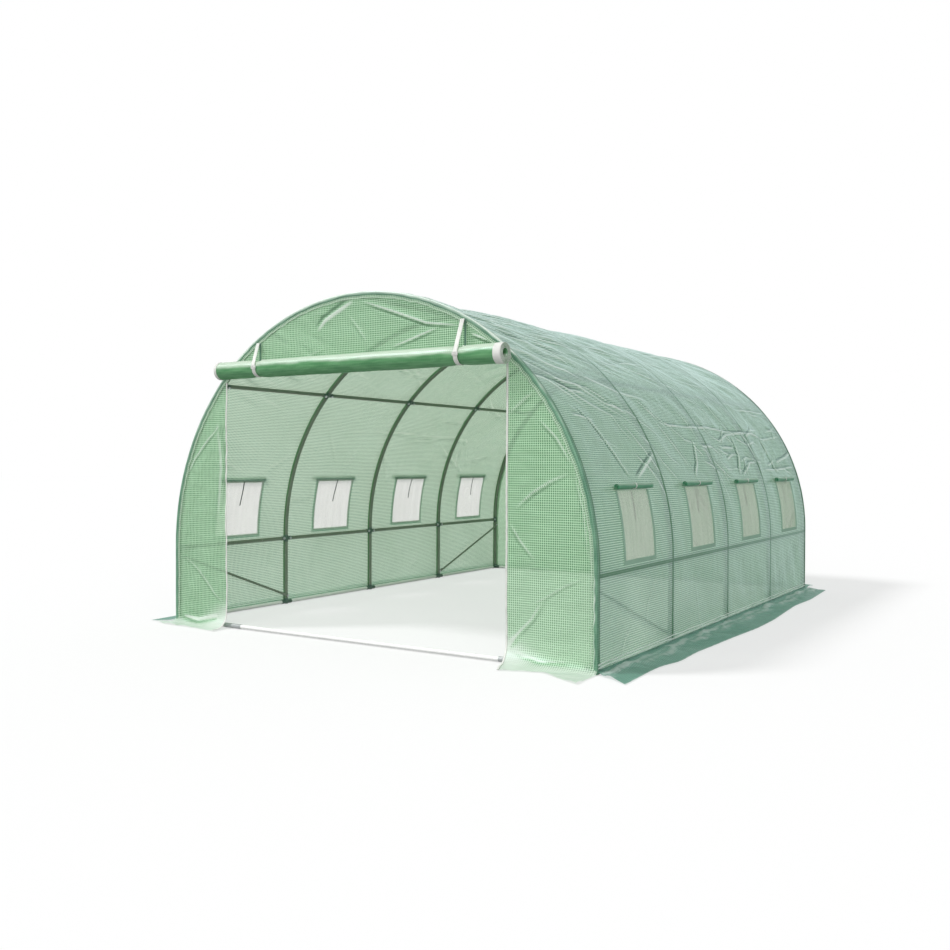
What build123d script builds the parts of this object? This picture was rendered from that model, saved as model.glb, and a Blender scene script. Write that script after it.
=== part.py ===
"""Walk-in polytunnel greenhouse: five tube hoops, rails and braces under a film cover.

The part stands on the ground at Z = 0. X runs across the doorway, the doorway faces -Y,
and the origin is on the ground in the middle of the plan.
"""

from build123d import *

import os
from math import cos, degrees, radians, sin

os.makedirs("parts", exist_ok=True)

# Overall sizes, outside the cover
cover_width = 3000
cover_length = 4000
leg_height = 500
bay_count = 4

# Frame tubes and the sleeves that join them
tube_diameter = 25
brace_diameter = 16
brace_flat_thickness = 4
brace_flat_width = 22
brace_flat_length = 34
brace_neck_length = 28
brace_bolt_hole = 8
fitting_wall = 2
socket_wall = 1.5
fitting_arm = 50
base_sleeve_height = 40
side_rail_height = 480
haunch_rail_angle = 43
brace_top_height = 425
brace_foot_height = 60
base_joint_offset = 1000
base_joint_length = 140

# Cover
film = 3
shoulder_height = 950
skirt_width = 220
end_skirt_width = 300

# Doorway and the door rolled up above it
door_width = 2015
door_shift = -27
door_head = 1560
door_roll_diameter = 114
door_roll_bore = 40
door_roll_length = 2070
door_roll_height = 1596
door_strap_width = 25
door_strap_thickness = 2
door_strap_spacing = 1450
door_strap_top = 1775
binding_width = 10
binding_thickness = 1.5

# Windows, measured up the curve of the wall from the ground
window_width = 390
window_sill = 532
window_top = 897
window_lap = 14
window_shift = 20
mesh_thickness = 2
border_width = 24
border_thickness = 1.5
flap_roll_diameter = 34
flap_roll_bore = 8
flap_roll_length = 470
tie_width = 10
tie_thickness = 1.5
tie_length = 150

# Clearance left between pieces that rest against each other
seat_gap = 0.3

# Sizes that follow from the ones above
cover_radius = cover_width / 2
film_inner_radius = cover_radius - film
sleeve_bore = tube_diameter / 2 + seat_gap
sleeve_radius = sleeve_bore + fitting_wall
hoop_radius = film_inner_radius - seat_gap - sleeve_radius
half_length = cover_length / 2
end_hoop_y = half_length - film - seat_gap - sleeve_radius
bay = 2 * end_hoop_y / bay_count
hoop_places = [-end_hoop_y + bay * number for number in range(bay_count + 1)]
bay_centres = [place + bay / 2 + window_shift for place in hoop_places[:-1]]
rail_length = bay - 2 * (sleeve_radius + seat_gap)
socket_radius = sleeve_bore + socket_wall
base_rail_height = socket_radius + seat_gap
door_left = door_shift - door_width / 2
door_right = door_shift + door_width / 2
hoop_names = ("hoop_front", "hoop_second", "hoop_third", "hoop_fourth", "hoop_back")


def save(piece, label):
    """Name a finished piece and write its file."""
    piece.part.label = label
    export_step(piece.part, f"parts/{label}.step")


def wall_angle(height_along_wall):
    """Angle above the spring line, in degrees, of a length measured up the wall from the ground."""
    return degrees((height_along_wall - leg_height) / cover_radius)


def around(radius, angle):
    """Point of the arch at a radius and an angle above the horizontal, as X and Z."""
    return radius * cos(radians(angle)), leg_height + radius * sin(radians(angle))


def across(y):
    """Vertical plane across the tunnel at a distance along it, X to the right and Z up."""
    return Plane(origin=(0, y, 0), x_dir=(1, 0, 0), z_dir=(0, -1, 0))


def curved_band(inner, outer, start, end):
    """Section of the arch between two radii and two angles."""
    with BuildSketch() as band:
        with BuildLine():
            low = CenterArc((0, leg_height), inner, start, end - start)
            high = CenterArc((0, leg_height), outer, start, end - start)
            Line(low @ 0, high @ 0)
            Line(low @ 1, high @ 1)
        make_face()
    return band.sketch


def mirrored(piece):
    """The same piece on the other side of the tunnel."""
    with BuildPart() as other:
        add(mirror(piece.part, about=Plane.YZ, mode=Mode.PRIVATE))
    return other


def save_pair(piece, stem):
    """Write a right-hand piece and its mirror image."""
    save(piece, f"{stem}_right")
    save(mirrored(piece), f"{stem}_left")


def both_sides(piece):
    """A right-hand piece together with its mirror image."""
    with BuildPart() as pair:
        add(piece.part)
        add(mirror(piece.part, about=Plane.YZ, mode=Mode.PRIVATE))
    return pair


# Hoops: two upright legs and a half circle, bent from one line of tube
for place, label in zip(hoop_places, hoop_names):
    with BuildPart() as hoop:
        with BuildLine(across(place)) as centre_line:
            Line((hoop_radius, 0), (hoop_radius, leg_height))
            CenterArc((0, leg_height), hoop_radius, 0, 180)
            Line((-hoop_radius, leg_height), (-hoop_radius, 0))
        with BuildSketch(Plane(origin=(hoop_radius, place, 0), z_dir=(0, 0, 1))):
            Circle(tube_diameter / 2)
        sweep(path=centre_line.wires()[0])
    save(hoop, label)


def rails(x, z):
    """Tubes of one line of rail, one in each bay between the sleeves of its hoops."""
    with BuildPart() as line:
        for place in hoop_places[:-1]:
            with BuildSketch(across(place + sleeve_radius + seat_gap)):
                with Locations((x, z)):
                    Circle(tube_diameter / 2)
            extrude(amount=-rail_length)
    return line


save(rails(*around(hoop_radius, 90)), "ridge_rail")
save_pair(rails(*around(hoop_radius, haunch_rail_angle)), "haunch_rail")
save_pair(rails(hoop_radius, side_rail_height), "side_rail")
save_pair(rails(hoop_radius, base_rail_height), "base_rail")

# Base rails across both ends, each with two joint sleeves
for place, label in ((hoop_places[0], "front"), (hoop_places[-1], "back")):
    with BuildPart() as end_rail:
        reach = hoop_radius - sleeve_radius - seat_gap
        with BuildSketch(Plane(origin=(-reach, place, base_rail_height), z_dir=(1, 0, 0))):
            Circle(tube_diameter / 2)
        extrude(amount=2 * reach)
    save(end_rail, f"base_rail_{label}")

with BuildPart() as end_joint:
    for place in (hoop_places[0], hoop_places[-1]):
        start = base_joint_offset - base_joint_length / 2
        with BuildSketch(Plane(origin=(start, place, base_rail_height), z_dir=(1, 0, 0))):
            Circle(socket_radius)
            Circle(sleeve_bore, mode=Mode.SUBTRACT)
        extrude(amount=base_joint_length)
save(both_sides(end_joint), "base_joints")


def fitting(arms, sleeve_low, sleeve_high):
    """A sleeve along Z with sockets standing out of it, each arm a direction square to Z."""
    with BuildPart() as piece:
        with BuildSketch(Plane.XY.offset(sleeve_low)):
            Circle(sleeve_radius)
        extrude(amount=sleeve_high - sleeve_low)
        for arm in arms:
            with BuildSketch(Plane(origin=(0, 0, 0), z_dir=arm)):
                Circle(socket_radius)
            extrude(amount=fitting_arm)
        with BuildSketch(Plane.XY.offset(sleeve_low)):
            Circle(sleeve_bore)
        extrude(amount=sleeve_high - sleeve_low, mode=Mode.SUBTRACT)
        for arm in arms:
            with BuildSketch(Plane(origin=Vector(*arm) * sleeve_radius, z_dir=arm)):
                Circle(sleeve_bore)
            extrude(amount=fitting_arm, mode=Mode.SUBTRACT)
    return piece


def hoop_arms(number):
    """Directions of the rail sockets at a hoop: one on an end hoop, two on the others."""
    arms = []
    if number > 0:
        arms.append((0, -1, 0))
    if number < bay_count:
        arms.append((0, 1, 0))
    return arms


def cross_fittings(angle, rail_height=None):
    """The sleeves of one line of rail, turned to lie along the hoops at their angle."""
    x, z = around(hoop_radius, angle)
    if rail_height is not None:
        z = rail_height
    with BuildPart() as line:
        for number, place in enumerate(hoop_places):
            piece = fitting(hoop_arms(number), -fitting_arm / 2, fitting_arm / 2)
            with Locations(Location((x, place, z), (0, -angle, 0))):
                add(piece.part)
    return line


with BuildPart() as rail_fittings:
    add(cross_fittings(90).part)
    add(both_sides(cross_fittings(haunch_rail_angle)).part)
    add(both_sides(cross_fittings(0, side_rail_height)).part)
save(rail_fittings, "rail_fittings")

# Shoes: the sleeve of each foot stands on the ground and holds the base rails
with BuildPart() as shoes:
    for number, place in enumerate(hoop_places):
        arms = hoop_arms(number)
        if number in (0, bay_count):
            arms.append((-1, 0, 0))
        shoe = fitting(arms, -base_rail_height, base_sleeve_height - base_rail_height)
        with Locations((hoop_radius, place, base_rail_height)):
            add(shoe.part)
save(both_sides(shoes), "base_shoes")

# Corner braces: a tube pressed flat at its ends and bolted inside an end hoop and its neighbour
brace_x = hoop_radius - tube_diameter / 2 - seat_gap - brace_diameter / 2


def pressed_end(bolt, toward):
    """Flat end of a brace round its bolt, with the neck that widens it out of the tube."""
    along = Plane(origin=bolt, x_dir=(1, 0, 0), z_dir=toward)
    outer_face = Plane(origin=bolt + Vector(brace_diameter / 2, 0, 0), x_dir=toward, z_dir=(-1, 0, 0))
    with BuildPart() as end:
        with BuildSketch(along.offset(brace_flat_length)):
            with Locations(((brace_diameter - brace_flat_thickness) / 2, 0)):
                Rectangle(brace_flat_thickness, brace_flat_width)
        with BuildSketch(along.offset(brace_flat_length + brace_neck_length)):
            Circle(brace_diameter / 2)
        loft()
        with BuildSketch(outer_face):
            Circle(brace_flat_width / 2)
            with Locations((brace_flat_length / 2, 0)):
                Rectangle(brace_flat_length, brace_flat_width)
            Circle(brace_bolt_hole / 2, mode=Mode.SUBTRACT)
        extrude(amount=brace_flat_thickness)
    return end


with BuildPart() as braces:
    for end in (-1, 1):
        top = Vector(brace_x, end * end_hoop_y, brace_top_height)
        foot = Vector(brace_x, end * (end_hoop_y - bay), brace_foot_height)
        run = foot - top
        pressed_length = brace_flat_length + brace_neck_length
        with BuildSketch(Plane(origin=top, x_dir=(1, 0, 0), z_dir=run).offset(pressed_length)):
            Circle(brace_diameter / 2)
        extrude(amount=run.length - 2 * pressed_length)
        add(pressed_end(top, run.normalized()).part)
        add(pressed_end(foot, -run.normalized()).part)
save(both_sides(braces), "corner_braces")

# Cover over the arch, in strips that meet edge to edge
strip_start = half_length - film
shoulder_angle = wall_angle(shoulder_height)


def strip(start, end):
    """A strip of film over the arch between two angles, as long as the tunnel between its ends."""
    with BuildPart() as piece:
        with BuildSketch(across(-strip_start)):
            add(curved_band(film_inner_radius, cover_radius, start, end))
        extrude(amount=-2 * strip_start)
    return piece


def window_patch(inner, outer, width, low, high, centre):
    """A curved pad over one window, from one length up the wall to another."""
    with BuildPart() as pad:
        with BuildSketch(across(centre - width / 2)):
            add(curved_band(inner, outer, wall_angle(low), wall_angle(high)))
        extrude(amount=-width)
    return pad


with BuildPart() as side:
    with BuildSketch(across(-strip_start)):
        with BuildLine():
            inner_foot = Line((film_inner_radius, 0), (film_inner_radius, leg_height))
            outer_foot = Line((cover_radius, 0), (cover_radius, leg_height))
            inner_curve = CenterArc((0, leg_height), film_inner_radius, 0, shoulder_angle)
            outer_curve = CenterArc((0, leg_height), cover_radius, 0, shoulder_angle)
            Line(inner_foot @ 0, outer_foot @ 0)
            Line(inner_curve @ 1, outer_curve @ 1)
        make_face()
    extrude(amount=-2 * strip_start)
    for centre in bay_centres:
        opening = window_patch(
            film_inner_radius - film, cover_radius + film, window_width, window_sill, window_top, centre
        )
        add(opening.part, mode=Mode.SUBTRACT)
save_pair(side, "cover_side")
save_pair(strip(shoulder_angle, haunch_rail_angle), "cover_shoulder")
save_pair(strip(haunch_rail_angle, 90), "cover_roof")

# Window mesh behind the openings, and the welded border round each on the outside
with BuildPart() as meshes:
    for centre in bay_centres:
        outer = film_inner_radius - seat_gap
        pad = window_patch(
            outer - mesh_thickness,
            outer,
            window_width + 2 * window_lap,
            window_sill - window_lap,
            window_top + window_lap,
            centre,
        )
        add(pad.part)
save_pair(meshes, "window_mesh")

border_inner_radius = cover_radius + seat_gap
border_outer_radius = border_inner_radius + border_thickness
with BuildPart() as borders:
    for centre in bay_centres:
        frame = window_patch(
            border_inner_radius,
            border_outer_radius,
            window_width + 2 * border_width,
            window_sill - border_width,
            window_top,
            centre,
        )
        add(frame.part)
        hole = window_patch(
            cover_radius, border_outer_radius + film, window_width, window_sill, window_top + film, centre
        )
        add(hole.part, mode=Mode.SUBTRACT)
save(both_sides(borders), "window_borders")

# Window flaps rolled up above the openings, each held by a tie with a hanging end
tie_inner_radius = flap_roll_diameter / 2 + seat_gap
tie_outer_radius = tie_inner_radius + tie_thickness
roll_arc = window_top + tie_outer_radius
roll_x, roll_z = around(cover_radius + seat_gap + tie_outer_radius, wall_angle(roll_arc))
with BuildPart() as flap_rolls:
    for centre in bay_centres:
        with BuildSketch(across(centre - flap_roll_length / 2)):
            with Locations((roll_x, roll_z)):
                Circle(flap_roll_diameter / 2)
                Circle(flap_roll_bore / 2, mode=Mode.SUBTRACT)
        extrude(amount=-flap_roll_length)
save_pair(flap_rolls, "window_roll")

with BuildPart() as ties:
    for centre in bay_centres:
        with BuildSketch(across(centre - tie_width / 2)):
            with Locations((roll_x, roll_z)):
                Circle(tie_outer_radius)
            with Locations((roll_x + tie_outer_radius - tie_thickness / 2, roll_z - tie_length / 2)):
                Rectangle(tie_thickness, tie_length)
            with Locations((roll_x, roll_z)):
                Circle(tie_inner_radius, mode=Mode.SUBTRACT)
        extrude(amount=-tie_width)
save(both_sides(ties), "window_ties")


def end_wall(y, low, high, left, right):
    """Part of an end wall of film inside the arch, between two heights and two sides."""
    with BuildPart() as piece:
        with BuildSketch(across(y)):
            with Locations((0, leg_height)):
                Circle(cover_radius)
            with Locations((0, leg_height / 2)):
                Rectangle(cover_width, leg_height)
            with Locations(((left + right) / 2, (low + high) / 2)):
                Rectangle(right - left, high - low, mode=Mode.INTERSECT)
        extrude(amount=-film)
    return piece


crown_height = leg_height + cover_radius
for y, label in ((-half_length, "front"), (half_length - film, "back")):
    left_panel = end_wall(y, 0, door_head, -cover_radius, door_left)
    right_panel = end_wall(y, 0, door_head, door_right, cover_radius)
    gable = end_wall(y, door_head, crown_height, -cover_radius, cover_radius)
    save(left_panel, f"{label}_panel_left")
    save(right_panel, f"{label}_panel_right")
    save(gable, f"{label}_gable")
save(end_wall(half_length - film, 0, door_head, door_left, door_right), "back_door")

# White binding along both upright edges of the doorway
with BuildPart() as binding:
    with BuildSketch(across(-half_length - seat_gap - binding_thickness)):
        for edge in (door_left - binding_width / 2, door_right + binding_width / 2):
            with Locations((edge, (door_head + film) / 2)):
                Rectangle(binding_width, door_head - film - 2 * seat_gap)
    extrude(amount=-binding_thickness)
save(binding, "door_binding")

# Door rolled up in front of the gable, hung in two straps
strap_inner_radius = door_roll_diameter / 2 + seat_gap
strap_outer_radius = strap_inner_radius + door_strap_thickness
roll_y = -half_length - seat_gap - strap_outer_radius
with BuildPart() as door_roll:
    with BuildSketch(Plane(origin=(door_shift - door_roll_length / 2, roll_y, door_roll_height), z_dir=(1, 0, 0))):
        Circle(door_roll_diameter / 2)
        Circle(door_roll_bore / 2, mode=Mode.SUBTRACT)
    extrude(amount=door_roll_length)
save(door_roll, "door_roll")

hang = door_strap_top - door_roll_height
with BuildPart() as straps:
    for side in (-1, 1):
        strap_x = door_shift + (side * door_strap_spacing - door_strap_width) / 2
        lengthwise = Plane(origin=(strap_x, roll_y, door_roll_height), x_dir=(0, 1, 0), z_dir=(1, 0, 0))
        with BuildSketch(lengthwise):
            Circle(strap_outer_radius)
            with Locations((strap_outer_radius - door_strap_thickness / 2, hang / 2)):
                Rectangle(door_strap_thickness, hang)
            Circle(strap_inner_radius, mode=Mode.SUBTRACT)
        extrude(amount=door_strap_width)
save(straps, "door_straps")

# Ground flaps lying outwards all round
with BuildPart() as side_skirt:
    with Locations((cover_radius, 0, 0)):
        Box(skirt_width, cover_length, film, align=(Align.MIN, Align.CENTER, Align.MIN))
save_pair(side_skirt, "skirt")
for label, left, right in (
    ("front_left", -cover_radius, door_left),
    ("front_right", door_right, cover_radius),
):
    with BuildPart() as end_skirt:
        with Locations((left, -half_length, 0)):
            Box(right - left, end_skirt_width, film, align=(Align.MIN, Align.MAX, Align.MIN))
    save(end_skirt, f"skirt_{label}")
with BuildPart() as back_skirt:
    with Locations((0, half_length, 0)):
        Box(cover_width, end_skirt_width, film, align=(Align.CENTER, Align.MIN, Align.MIN))
save(back_skirt, "skirt_back")
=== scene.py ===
"""Looks of a walk-in polytunnel greenhouse: film cover, end walls, rolled door, windows and ground flaps.

Everything is in metres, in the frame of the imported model: Z up, the doorway faces -Y, origin on the ground.
"""

import logging
import math
from dataclasses import dataclass, field
from enum import Enum

import bpy
import numpy as np
from mathutils import Matrix, Vector


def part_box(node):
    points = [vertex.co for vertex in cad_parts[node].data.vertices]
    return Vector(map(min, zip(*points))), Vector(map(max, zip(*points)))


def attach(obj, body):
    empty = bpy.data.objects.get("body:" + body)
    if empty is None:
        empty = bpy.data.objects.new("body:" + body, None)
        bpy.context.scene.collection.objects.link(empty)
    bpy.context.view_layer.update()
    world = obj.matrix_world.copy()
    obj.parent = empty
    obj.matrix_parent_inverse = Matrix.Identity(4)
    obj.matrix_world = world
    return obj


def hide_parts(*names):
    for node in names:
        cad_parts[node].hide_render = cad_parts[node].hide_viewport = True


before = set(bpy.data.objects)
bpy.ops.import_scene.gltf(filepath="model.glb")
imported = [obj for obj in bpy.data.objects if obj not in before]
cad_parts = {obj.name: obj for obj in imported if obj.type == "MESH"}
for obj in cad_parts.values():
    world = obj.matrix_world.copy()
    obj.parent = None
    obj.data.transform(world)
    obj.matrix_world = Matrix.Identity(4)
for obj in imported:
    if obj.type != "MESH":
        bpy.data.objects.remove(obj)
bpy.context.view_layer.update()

CLOTH_UV = "cloth"
# The crease attribute carries painted highlight above 0 and painted shade below 0, read by the film shaders.
CREASE = "crease"
CRUMPLE = "crumple"
log = logging.getLogger("polytunnel")

Colour = tuple[float, float, float]
Point = tuple[float, float]

SKIN_COLOUR: Colour = (0.66, 0.91, 0.88)
SKIN_RISE = 6.0
# Painted shade: colour of the film where it rests on a hoop or rail and the tube blocks the light from behind.
RESTING_SHADE_COLOUR: Colour = (0.03, 0.19, 0.045)
# Colour of the light shining through the film under a painted highlight.
PALE_GLOW: Colour = (0.70, 0.80, 0.70)
OPEN_WEAVE: Colour = (0.86, 0.93, 0.89)
FLOOR_GAP = 0.0012
WALL_GAP = 0.0006
FILM_ROUGHNESS = 0.5
FILM_SHINE = 0.2


class Named(Enum):
    """An option whose word also goes into the names of pieces."""

    @property
    def label(self) -> str:
        """The option's word."""
        return self.name.lower()


class Side(Named):
    """The two long sides; the value is the sign of X."""

    LEFT = -1
    RIGHT = 1


class End(Named):
    """The two ends; the value is the sign of Y."""

    FRONT = -1
    BACK = 1


def deselect_all() -> None:
    """Leave nothing selected, so that an operator acts on new work only."""
    bpy.ops.object.select_all(action="DESELECT")


def ripples(
    u: np.ndarray, v: np.ndarray, seed: int, waves: int, shortest: float, longest: float, lean: float, spread: float
) -> np.ndarray:
    """Add up sine waves of mixed length and direction, as loose film wrinkles.

    Args:
        u, v: cloth coordinates in metres.
        seed: fixes the draw.
        waves: how many sines are added.
        shortest, longest: wave lengths in metres.
        lean: direction in which the height changes, in degrees from u.
        spread: how far a wave may turn from that direction, in degrees.

    Returns:
        Heights of about -1 to 1.
    """
    draw = np.random.RandomState(seed)
    total = np.zeros_like(u)
    for _ in range(waves):
        length = shortest * (longest / shortest) ** draw.rand()
        turn = math.radians(lean + spread * (2 * draw.rand() - 1))
        total += np.sin(2 * math.pi * ((u * math.cos(turn) + v * math.sin(turn)) / length + draw.rand()))
    return total / math.sqrt(waves)


def wobble(u: np.ndarray, seed: int, waves: int, shortest: float, longest: float) -> np.ndarray:
    """Add up sine waves along one direction; the values are those of ripples."""
    return ripples(u, 0 * u, seed, waves, shortest, longest, 0.0, 1.0)


@dataclass(frozen=True)
class Crease:
    """A sharp fold in film along a line of cloth points."""

    points: tuple[Point, ...]
    width: float = 0.016
    depth: float = 0.006

    def across(self, u: np.ndarray, v: np.ndarray) -> tuple[np.ndarray, np.ndarray]:
        """Find the signed distance from the crease and how strong it is there.

        Args:
            u, v: cloth coordinates in metres.

        Returns:
            Signed distance in metres, and a strength that fades at both ends of the line.
        """
        nearest = np.full(u.shape, 1e9)
        signed = np.zeros_like(u)
        strength = np.zeros_like(u)
        runs = len(self.points) - 1
        for number in range(runs):
            (u0, v0), (u1, v1) = self.points[number], self.points[number + 1]
            du, dv = u1 - u0, v1 - v0
            length = math.hypot(du, dv)
            along = np.clip(((u - u0) * du + (v - v0) * dv) / length**2, 0, 1)
            off_u, off_v = u - u0 - along * du, v - v0 - along * dv
            gap = np.hypot(off_u, off_v)
            closer = gap < nearest
            side = np.sign(off_u * dv - off_v * du)
            nearest = np.where(closer, gap, nearest)
            signed = np.where(closer, gap * side, signed)
            share = (number + along) / runs
            strength = np.where(closer, np.sqrt(np.clip(4 * share * (1 - share), 0, 1)), strength)
        return signed, strength


def fold_creases(creases: list[Crease], u: np.ndarray, v: np.ndarray) -> tuple[np.ndarray, np.ndarray]:
    """Turn creases into a height and a mark of painted highlight and shade for the shader.

    Args:
        creases: the folds.
        u, v: cloth coordinates in metres.

    Returns:
        Height in metres, and a mark of about -1 on the dark flank, painted shade in the groove, to 1 on the pale
        flank, painted highlight on the ridge.
    """
    height, mark = np.zeros_like(u), np.zeros_like(u)
    for crease in creases:
        signed, strength = crease.across(u, v)
        ridge = np.exp(-((signed / crease.width) ** 2))
        groove = np.exp(-(((signed - 1.5 * crease.width) / crease.width) ** 2))
        height += crease.depth * strength * (ridge - 0.8 * groove)
        line = 0.75 * crease.width
        weight = min(1.0, crease.depth / 0.006)
        # Paint a highlight along the ridge and shade in the groove beside it.
        mark += 1.25 * weight * strength * np.exp(-((signed / line) ** 2))
        mark -= 1.25 * weight * strength * np.exp(-(((signed - 1.4 * crease.width) / line) ** 2))
    return height, np.clip(mark, -1, 1)


def scatter_creases(
    seed: int, count: int, u_range: Point, v_range: Point, length: Point, angle: Point, width: float, depth: float
) -> list[Crease]:
    """Draw short straight folds over a patch of cloth.

    Args:
        seed: fixes the draw.
        count: how many folds.
        u_range, v_range: where their middles lie, in metres.
        length, angle: least and most length in metres and angle in degrees from u.
        width, depth: size of a fold in metres.

    Returns:
        The folds, each with a slight bend.
    """
    draw = np.random.RandomState(seed)
    made = []
    for _ in range(count):
        u, v = draw.uniform(*u_range), draw.uniform(*v_range)
        half = draw.uniform(*length) / 2
        turn = math.radians(draw.uniform(*angle))
        bend = math.radians(draw.uniform(-14, 14))
        start = (u - half * math.cos(turn + bend), v - half * math.sin(turn + bend))
        stop = (u + half * math.cos(turn - bend), v + half * math.sin(turn - bend))
        made.append(Crease((start, (u, v), stop), width, depth * draw.uniform(0.4, 1.0)))
    return made


def spread_between(stops: list[float], step: float) -> np.ndarray:
    """Space grid lines between fixed stops, so that each stop is a line.

    Args:
        stops: places that must be a line, in rising order.
        step: largest distance between lines.

    Returns:
        Every line's place.
    """
    lines = [np.array([stops[0]])]
    for low, high in zip(stops, stops[1:]):
        count = max(1, math.ceil((high - low) / step - 1e-9))
        lines.append(np.linspace(low, high, count + 1)[1:])
    return np.concatenate(lines)


def cloth_grid(first: np.ndarray, second: np.ndarray) -> np.ndarray:
    """Pair two lines of cloth coordinates into a grid, first by second by 2."""
    return np.stack(np.meshgrid(first, second, indexing="ij"), axis=-1)


def distances_along(line: np.ndarray) -> np.ndarray:
    """Distance of each point of a line from its start, measured along it."""
    return np.concatenate(([0], np.cumsum(np.linalg.norm(np.diff(line, axis=0), axis=1))))


def make_sheet(
    name: str,
    points: np.ndarray,
    cloth: np.ndarray,
    mark: np.ndarray | None = None,
    keep: np.ndarray | None = None,
    flip: bool = False,
    crumple: np.ndarray | None = None,
) -> bpy.types.Object:
    """Make a sheet of film from a grid of points.

    Args:
        name: the piece's name.
        points: places, rows by columns by 3.
        cloth: cloth coordinates in metres, rows by columns by 2.
        mark: crease mark of each point: painted highlight above 0 and painted shade below 0.
        keep: which cells of the grid have film, all of them if left out.
        flip: turn the faces the other way.
        crumple: how crumpled the film is at each point, from 0 to 1.

    Returns:
        The sheet, at the origin.
    """
    rows, columns = points.shape[:2]
    index = np.arange(rows * columns).reshape(rows, columns)
    quads = np.stack((index[:-1, :-1], index[:-1, 1:], index[1:, 1:], index[1:, :-1]), axis=-1)
    if keep is not None:
        quads = quads[keep]
    quads = quads.reshape(-1, 4)
    if flip:
        quads = quads[:, ::-1]
    used, corners = np.unique(quads, return_inverse=True)
    corners = corners.reshape(-1, 4)
    mesh = bpy.data.meshes.new(name)
    mesh.from_pydata(points.reshape(-1, 3)[used].tolist(), [], corners.tolist())
    layer = mesh.uv_layers.new(name=CLOTH_UV)
    layer.data.foreach_set("uv", cloth.reshape(-1, 2)[used][corners.ravel()].astype(np.float32).ravel())
    for attribute, values in ((CREASE, mark), (CRUMPLE, crumple)):
        values = np.zeros(len(used)) if values is None else values.reshape(-1)[used]
        mesh.attributes.new(attribute, "FLOAT", "POINT").data.foreach_set("value", values.astype(np.float32))
    mesh.polygons.foreach_set("use_smooth", np.ones(len(corners), bool))
    mesh.update()
    piece = bpy.data.objects.new(name, mesh)
    bpy.context.scene.collection.objects.link(piece)
    return piece


def hang_on(piece: bpy.types.Object, material: bpy.types.Material, nodes: tuple[str, ...] = ()) -> None:
    """Give a piece its finish, its body and the nodes that it stands for.

    Args:
        piece: the piece.
        material: its finish.
        nodes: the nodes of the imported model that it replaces, none if left out.
    """
    piece.data.materials.clear()
    piece.data.materials.append(material)
    if nodes:
        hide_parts(*nodes)
    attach(piece, "root")
    log.info("%s: %d faces", piece.name, len(piece.data.polygons))


def apply_modifiers(piece: bpy.types.Object) -> None:
    """Apply all of a piece's modifiers in order.

    Args:
        piece: the piece.
    """
    deselect_all()
    bpy.context.view_layer.objects.active = piece
    piece.select_set(True)
    for modifier in list(piece.modifiers):
        bpy.ops.object.modifier_apply(modifier=modifier.name)
    piece.select_set(False)


def thicken(piece: bpy.types.Object, thickness: float, offset: float = 0.0) -> None:
    """Give a strip of tape its thickness.

    Args:
        piece: the strip.
        thickness: in metres.
        offset: 0 to grow to both sides, 1 or -1 to grow to one.
    """
    modifier = piece.modifiers.new("thickness", "SOLIDIFY")
    modifier.thickness = thickness
    modifier.offset = offset
    apply_modifiers(piece)


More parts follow.
